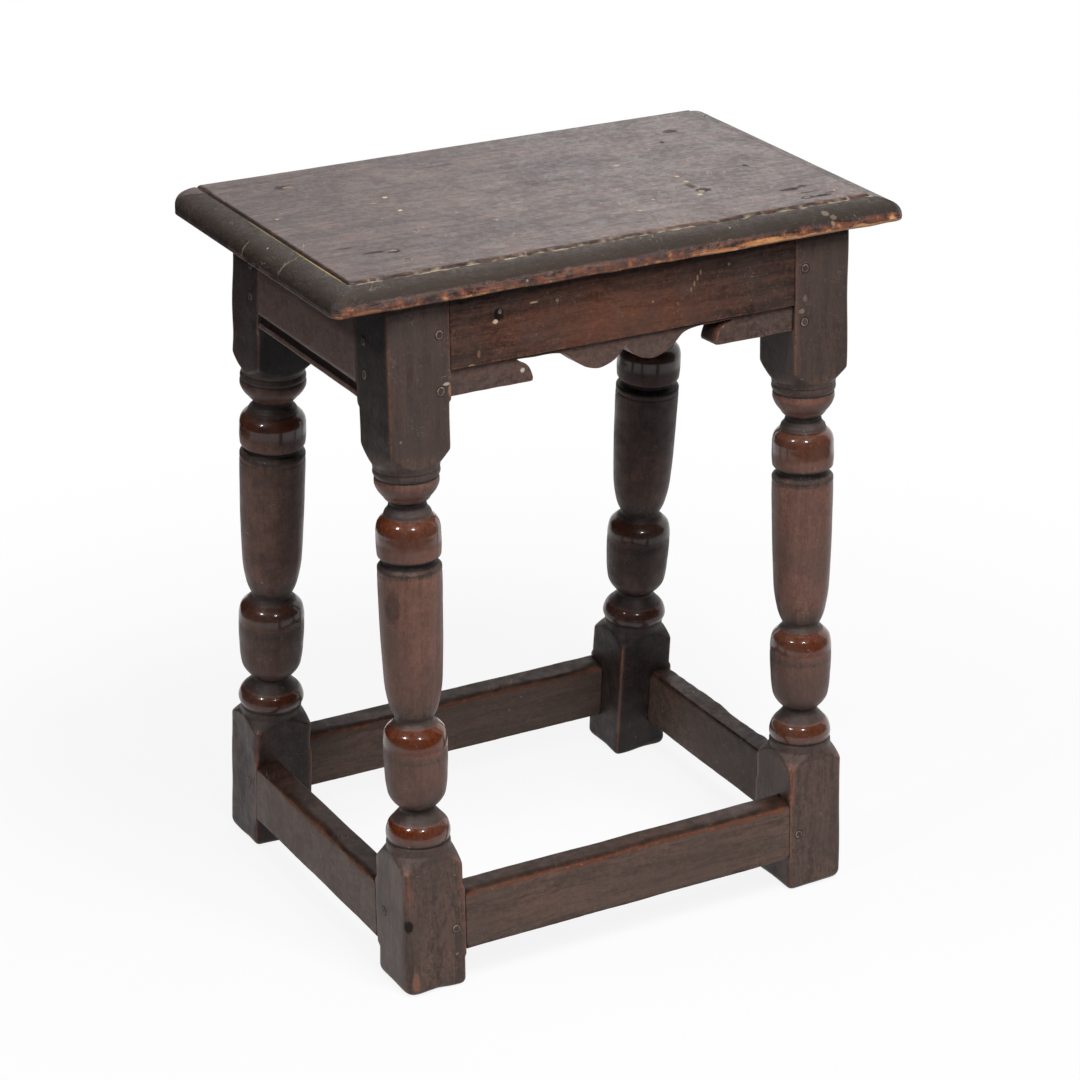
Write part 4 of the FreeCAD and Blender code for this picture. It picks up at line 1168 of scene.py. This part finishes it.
def worn_stretcher(where, seed, worn):
    """Stretcher skin, flush with the legs' outer faces; worn says which upper arris is rubbed."""
    is_long = where in ("front", "back")
    t = end_line(150 if is_long else 90)
    along = (t * 2 - 1) * SPAN_HALF_LENGTH if is_long else t * RAIL_REACH
    places = np.column_stack([along, 0 * t, 0 * t])
    outer = -HALF_LEG if is_long else -FRAME_HALF_LENGTH
    section = bar_section(outer, outer + STRETCHER_THICKNESS, STRETCHER_LOW, STRETCHER_HIGH,
                          worn_radii(places, seed, worn))
    if is_long:
        x = along[:, None] + 0 * section[..., 0]
        from_end = SPAN_HALF_LENGTH - abs(x)
        loop = np.stack([x, section[..., 0], section[..., 1]], axis=-1)
    else:
        loop, from_end = between_legs(t[:, None], section[..., 0], section[..., 1])
    let_in = sunk(loop, from_end, 0.12, (0.1, 50, seed + 3), (0.05, 10, seed + 4))
    outward = (section - BAR_MIDDLE - np.array([outer, 0])) / BAR_HALF
    side_on, up_on = outward[..., 0], outward[..., 1]
    loop[..., 1 if is_long else 0] -= let_in * side_on * (abs(side_on) > 0.8)
    loop[..., 2] -= let_in * up_on * (abs(up_on) > 0.9)
    marks = stretcher_marks(section, from_end, outer + STRETCHER_THICKNESS * (worn == 1))
    grid = cornered(leaned(loop), where, "left") if is_long else cornered(loop, "front", where)
    name = f"{'long' if is_long else 'short'}_stretcher_{where}"
    return skin(name, grid, marks, "stretcher_oak", f"stretcher_{where}")


stretchers = [worn_stretcher("front", 101, 0), worn_stretcher("back", 113, 1),
              worn_stretcher("left", 127, 0), worn_stretcher("right", 139, 0)]
print("stretchers:", [len(piece.data.polygons) for piece in stretchers])

# %% [markdown]
# Twenty-eight riven pegs lock the joints. A peg is a profile carried round its own line: a head
# that stands a little proud and isn't quite round, a narrow dark ring that reads as the gap round
# it, and a shaft that runs into the leg. Each line is worked out like the holes in the frame.

# %% Pegs
PROUD = 0.4
PEG_PROFILE = np.array([
    (0.06, 0.6), (0.0, 1.6), (0.06, 2.5), (0.2, 2.95), (0.37, 3.1), (0.36, 3.3), (0.36, 3.75),
    (0.5, 3.95), (1.2, 3.3), (30.0, 3.2), (35.0, 2.6), (36.0, 1.6),
])


def oak_peg(node, start, way, seed, side, end):
    """Peg skin: rows of the profile along the line, with an eight-lobed, slightly uneven radius."""
    rng = np.random.default_rng(seed)
    angle = np.linspace(0, 2 * np.pi, 32, endpoint=False)
    uneven = 1 + 0.02 * np.cos(8 * angle)
    uneven += rng.uniform(0.01, 0.06) * np.cos(2 * angle + rng.uniform(0, 6))
    along, radius = PEG_PROFILE.T
    way = way / np.linalg.norm(way)
    first = np.cross(way, [0.3, 0.2, 1.0] if abs(way[2]) < 0.9 else [1.0, 0.2, 0.0])
    first /= np.linalg.norm(first)
    second = np.cross(way, first)
    head = np.where(radius < 3.2, 1.0, 0.0)[:, None]
    r = radius[:, None] * (1 + (uneven - 1) * (0.4 + 0.6 * head))
    tilt = 0.06 * np.cos(angle + rng.uniform(0, 6)) * head
    grid = (start + (along[:, None] + tilt)[..., None] * way
            + (r * np.cos(angle))[..., None] * first + (r * np.sin(angle))[..., None] * second)
    ring = ((radius > 3.05) & (along < 1.5)).astype(float)[:, None] + 0 * r
    worn = ((radius > 2.2) & (radius < 3.05) & (along < 0.4)).astype(float)[:, None] + 0 * r
    marks = {"soot_and_shade": 0.6 * ring, "rub": worn * 0.8}
    return skin(f"oak_{node}", cornered(grid, side, end), marks, "peg_oak", node)


def front_line(height):
    """Line of a peg driven in from the front of a leg, 16 mm in from the leg's middle."""
    return leaned(np.array([[-148.0, -HALF_LEG - PROUD, height], [-148.0, HALF_LEG, height]]))


def side_line(height):
    """Line of a peg driven in from the end of the stool, 13 mm from the rail's shoulder."""
    y = shoulder_y(height) - 13.0
    return np.array([[-FRAME_HALF_LENGTH - PROUD, y, height], [0.0, y, height]])


SEAT_LINE = np.array([[-152.0, -86.5, 535.9], [-152.0, -86.5, 500.0]])
pegs = []
for side in ("front", "back"):
    for end in ("left", "right"):
        for node, line in (
            (f"peg_apron_{side}_{end}_upper", front_line(492.0)),
            (f"peg_apron_{side}_{end}_lower", front_line(452.0)),
            (f"peg_apron_{end}_{side}_upper", side_line(484.0)),
            (f"peg_apron_{end}_{side}_lower", side_line(460.0)),
            (f"peg_stretcher_{side}_{end}", front_line(45.4)),
            (f"peg_stretcher_{end}_{side}", side_line(54.6)),
            (f"peg_seat_{side}_{end}", SEAT_LINE),
        ):
            pegs.append(oak_peg(node, line[0], line[1] - line[0], 200 + len(pegs), side, end))
print("pegs:", len(pegs))

# %% [markdown]
# The stool stands on a plain white floor before a white backdrop. The room in front of it is dark:
# two rounded screens of dark cloth and a flat one on the left, which the camera looks through. Two
# wide lamps light the stool from the left and from in front, but the wax doesn't mirror them. That
# is what makes the turnings read: upright faces mirror the white floor and look greyer, shoulders
# mirror the dark room and show their amber, and each shoulder carries two small lights, which
# come from two small lamps. The seat mirrors the backdrop.

# %% Floor, surroundings and lamps
WHITE = (1, 1, 1, 1)
LIGHT_SIDE = (0.80, 0.10, 0.59)
LOOK_AT = (0, 0, 0.3)
SPARK_AT = (-0.1, 0, 0.3)


def seen_share(tree):
    """1 for rays from the camera, from a gloss or through glass, which see the plain white."""
    path = put(tree, "ShaderNodeLightPath").outputs
    either = calc(tree, "MAXIMUM", path["Is Camera Ray"], path["Is Glossy Ray"])
    return path["Is Camera Ray"], calc(tree, "MAXIMUM", either, path["Is Transmission Ray"])


def mixed(tree, share, a, b):
    """Mix two shaders by a share."""
    return put(tree, "ShaderNodeMixShader", {0: share, 1: a, 2: b}).outputs[0]


def stage_mesh(name, points, faces, build):
    """Object of the surroundings with a material that the builder function fills."""
    mesh = bpy.data.meshes.new(name)
    mesh.from_pydata(points, [], faces)
    thing = bpy.data.objects.new(name, mesh)
    bpy.context.scene.collection.objects.link(thing)
    material = bpy.data.materials.new(name + "_surface")
    material.use_nodes = True
    tree = material.node_tree
    tree.nodes.clear()
    put(tree, "ShaderNodeOutputMaterial", {"Surface": build(tree)})
    thing.data.materials.append(material)
    return thing


def white_floor(tree):
    """Floor seen as white with a faint share of real light, which keeps the shadow."""
    lit = put(tree, "ShaderNodeBsdfDiffuse", {"Color": (0.5, 0.5, 0.5, 1)}).outputs[0]
    own = put(tree, "ShaderNodeEmission", {"Color": WHITE, "Strength": 1.0}).outputs[0]
    floor_point = put(tree, "ShaderNodeTexCoord").outputs["Object"]
    away = vector(tree, "LENGTH", floor_point, output="Value")
    white = mixed(tree, fade(tree, away, 0.3, 0.95, 0.88, 1.0), lit, own)
    return mixed(tree, seen_share(tree)[1], lit, white)


def dark_screen(tree):
    """Dark cloth that the camera looks through, so that it may hang anywhere round the stool."""
    cloth = put(tree, "ShaderNodeBsdfDiffuse", {"Color": (0.022, 0.022, 0.025, 1)}).outputs[0]
    clear = put(tree, "ShaderNodeBsdfTransparent").outputs[0]
    return mixed(tree, seen_share(tree)[0], cloth, clear)


def screen_grid(radius, low, high, first, last):
    """Part of a sphere: directions by azimuth and height angle times the radius, as quads."""
    turn, rise = np.meshgrid(np.linspace(first, last, 37), np.linspace(low, high, 17))
    turn, rise = np.radians(turn), np.radians(rise)
    way = [np.sin(turn) * np.cos(rise), -np.cos(turn) * np.cos(rise), np.sin(rise)]
    points = radius * np.stack(way, axis=-1)
    index = np.arange(turn.size).reshape(turn.shape)
    quads = np.stack([index[:-1, :-1], index[:-1, 1:], index[1:, 1:], index[1:, :-1]], axis=-1)
    return points.reshape(-1, 3).tolist(), quads.reshape(-1, 4).tolist()


def soft_room():
    """World light: plain white where it is seen, a gradient by direction where it lights."""
    world = bpy.data.worlds.new("Soft room")
    bpy.context.scene.world = world
    world.use_nodes = True
    tree = world.node_tree
    tree.nodes.clear()
    way = put(tree, "ShaderNodeTexCoord").outputs["Generated"]
    towards = vector(tree, "DOT_PRODUCT", way, LIGHT_SIDE, output="Value")
    strength = fade(tree, towards, -0.8, 0.9, 0.08, 0.55)
    room, white = (
        put(tree, "ShaderNodeBackground", {"Color": WHITE, "Strength": power}).outputs[0]
        for power in (strength, 1.0))
    put(tree, "ShaderNodeOutputWorld", {"Surface": mixed(tree, seen_share(tree)[1], room, white)})
    return world


def soft_lamp(name, position, target, size, power, mirrored=True):
    """Square area lamp that faces a point; a wide one isn't mirrored in the wax."""
    data = bpy.data.lights.new(name, "AREA")
    data.size = size
    data.energy = power
    lamp = bpy.data.objects.new(name, data)
    aim = Vector(target) - Vector(position)
    turned_to = aim.to_track_quat("-Z", "Y").to_matrix().to_4x4()
    lamp.matrix_world = Matrix.Translation(position) @ turned_to
    lamp.visible_glossy = mirrored
    bpy.context.scene.collection.objects.link(lamp)
    return lamp


stage_mesh("floor", [(-6, -6, 0), (6, -6, 0), (6, 6, 0), (-6, 6, 0)], [(0, 1, 2, 3)], white_floor)
stage_mesh("screen_front", *screen_grid(3.4, 1.0, 76.0, -172.0, 80.0), dark_screen)
stage_mesh("screen_low", *screen_grid(1.15, 0.2, 19.0, -172.0, 80.0), dark_screen)
stage_mesh("screen_left",
           [(-1.4, 0.15, 0.002), (-0.2, 0.95, 0.002), (-0.2, 0.95, 1.1), (-1.4, 0.15, 1.1)],
           [(0, 1, 2, 3)], dark_screen)
soft_room()
soft_lamp("lamp_left", (-1.04, 0.05, 1.95), LOOK_AT, 0.7, 10.0, mirrored=False)
soft_lamp("lamp_front", (0.10, -0.95, 2.05), LOOK_AT, 0.7, 56.0, mirrored=False)
soft_lamp("lamp_behind", (1.0, 1.35, 1.2), (0.08, 0, 0.536), 0.6, 2.4)
soft_lamp("spark_left", (-1.47, -0.43, 1.62), SPARK_AT, 0.17, 11.0)
soft_lamp("spark_front", (-0.32, -1.43, 1.62), SPARK_AT, 0.17, 11.0)

# %% [markdown]
# The camera stands where the photograph was taken from. Its azimuth, elevation, roll, distance
# and focal length were solved from points on the stool, with the stool's own sizes as the scale.

# %% Camera
AZIMUTH, ELEVATION, ROLL = (math.radians(v) for v in (-29.957, 23.432, 0.710))
DISTANCE, TARGET = 2.503, Vector((0, 0, 0.27))
FOCAL_PIXELS, FRAME_PIXELS, SHIFT_PIXELS = 3340.5, 1080.0, (4.63, -7.54)
back = Vector((math.sin(AZIMUTH) * math.cos(ELEVATION), -math.cos(AZIMUTH) * math.cos(ELEVATION),
               math.sin(ELEVATION)))
level = Vector((math.cos(AZIMUTH), math.sin(AZIMUTH), 0))
upright = back.cross(level)
right = math.cos(ROLL) * level + math.sin(ROLL) * upright
up = -math.sin(ROLL) * level + math.cos(ROLL) * upright
camera_data = bpy.data.cameras.new("camera")
camera_data.sensor_width = 36.0
camera_data.lens = FOCAL_PIXELS * camera_data.sensor_width / FRAME_PIXELS
camera_data.shift_x, camera_data.shift_y = (pixels / FRAME_PIXELS for pixels in SHIFT_PIXELS)
camera = bpy.data.objects.new("camera", camera_data)
camera.matrix_world = Matrix((
    (right.x, up.x, back.x, TARGET.x + back.x * DISTANCE),
    (right.y, up.y, back.y, TARGET.y + back.y * DISTANCE),
    (right.z, up.z, back.z, TARGET.z + back.z * DISTANCE),
    (0, 0, 0, 1),
))
bpy.context.scene.collection.objects.link(camera)
bpy.context.scene.camera = camera
bpy.context.scene.view_settings.view_transform = "Standard"
print("lens:", round(camera_data.lens, 2), "mm")
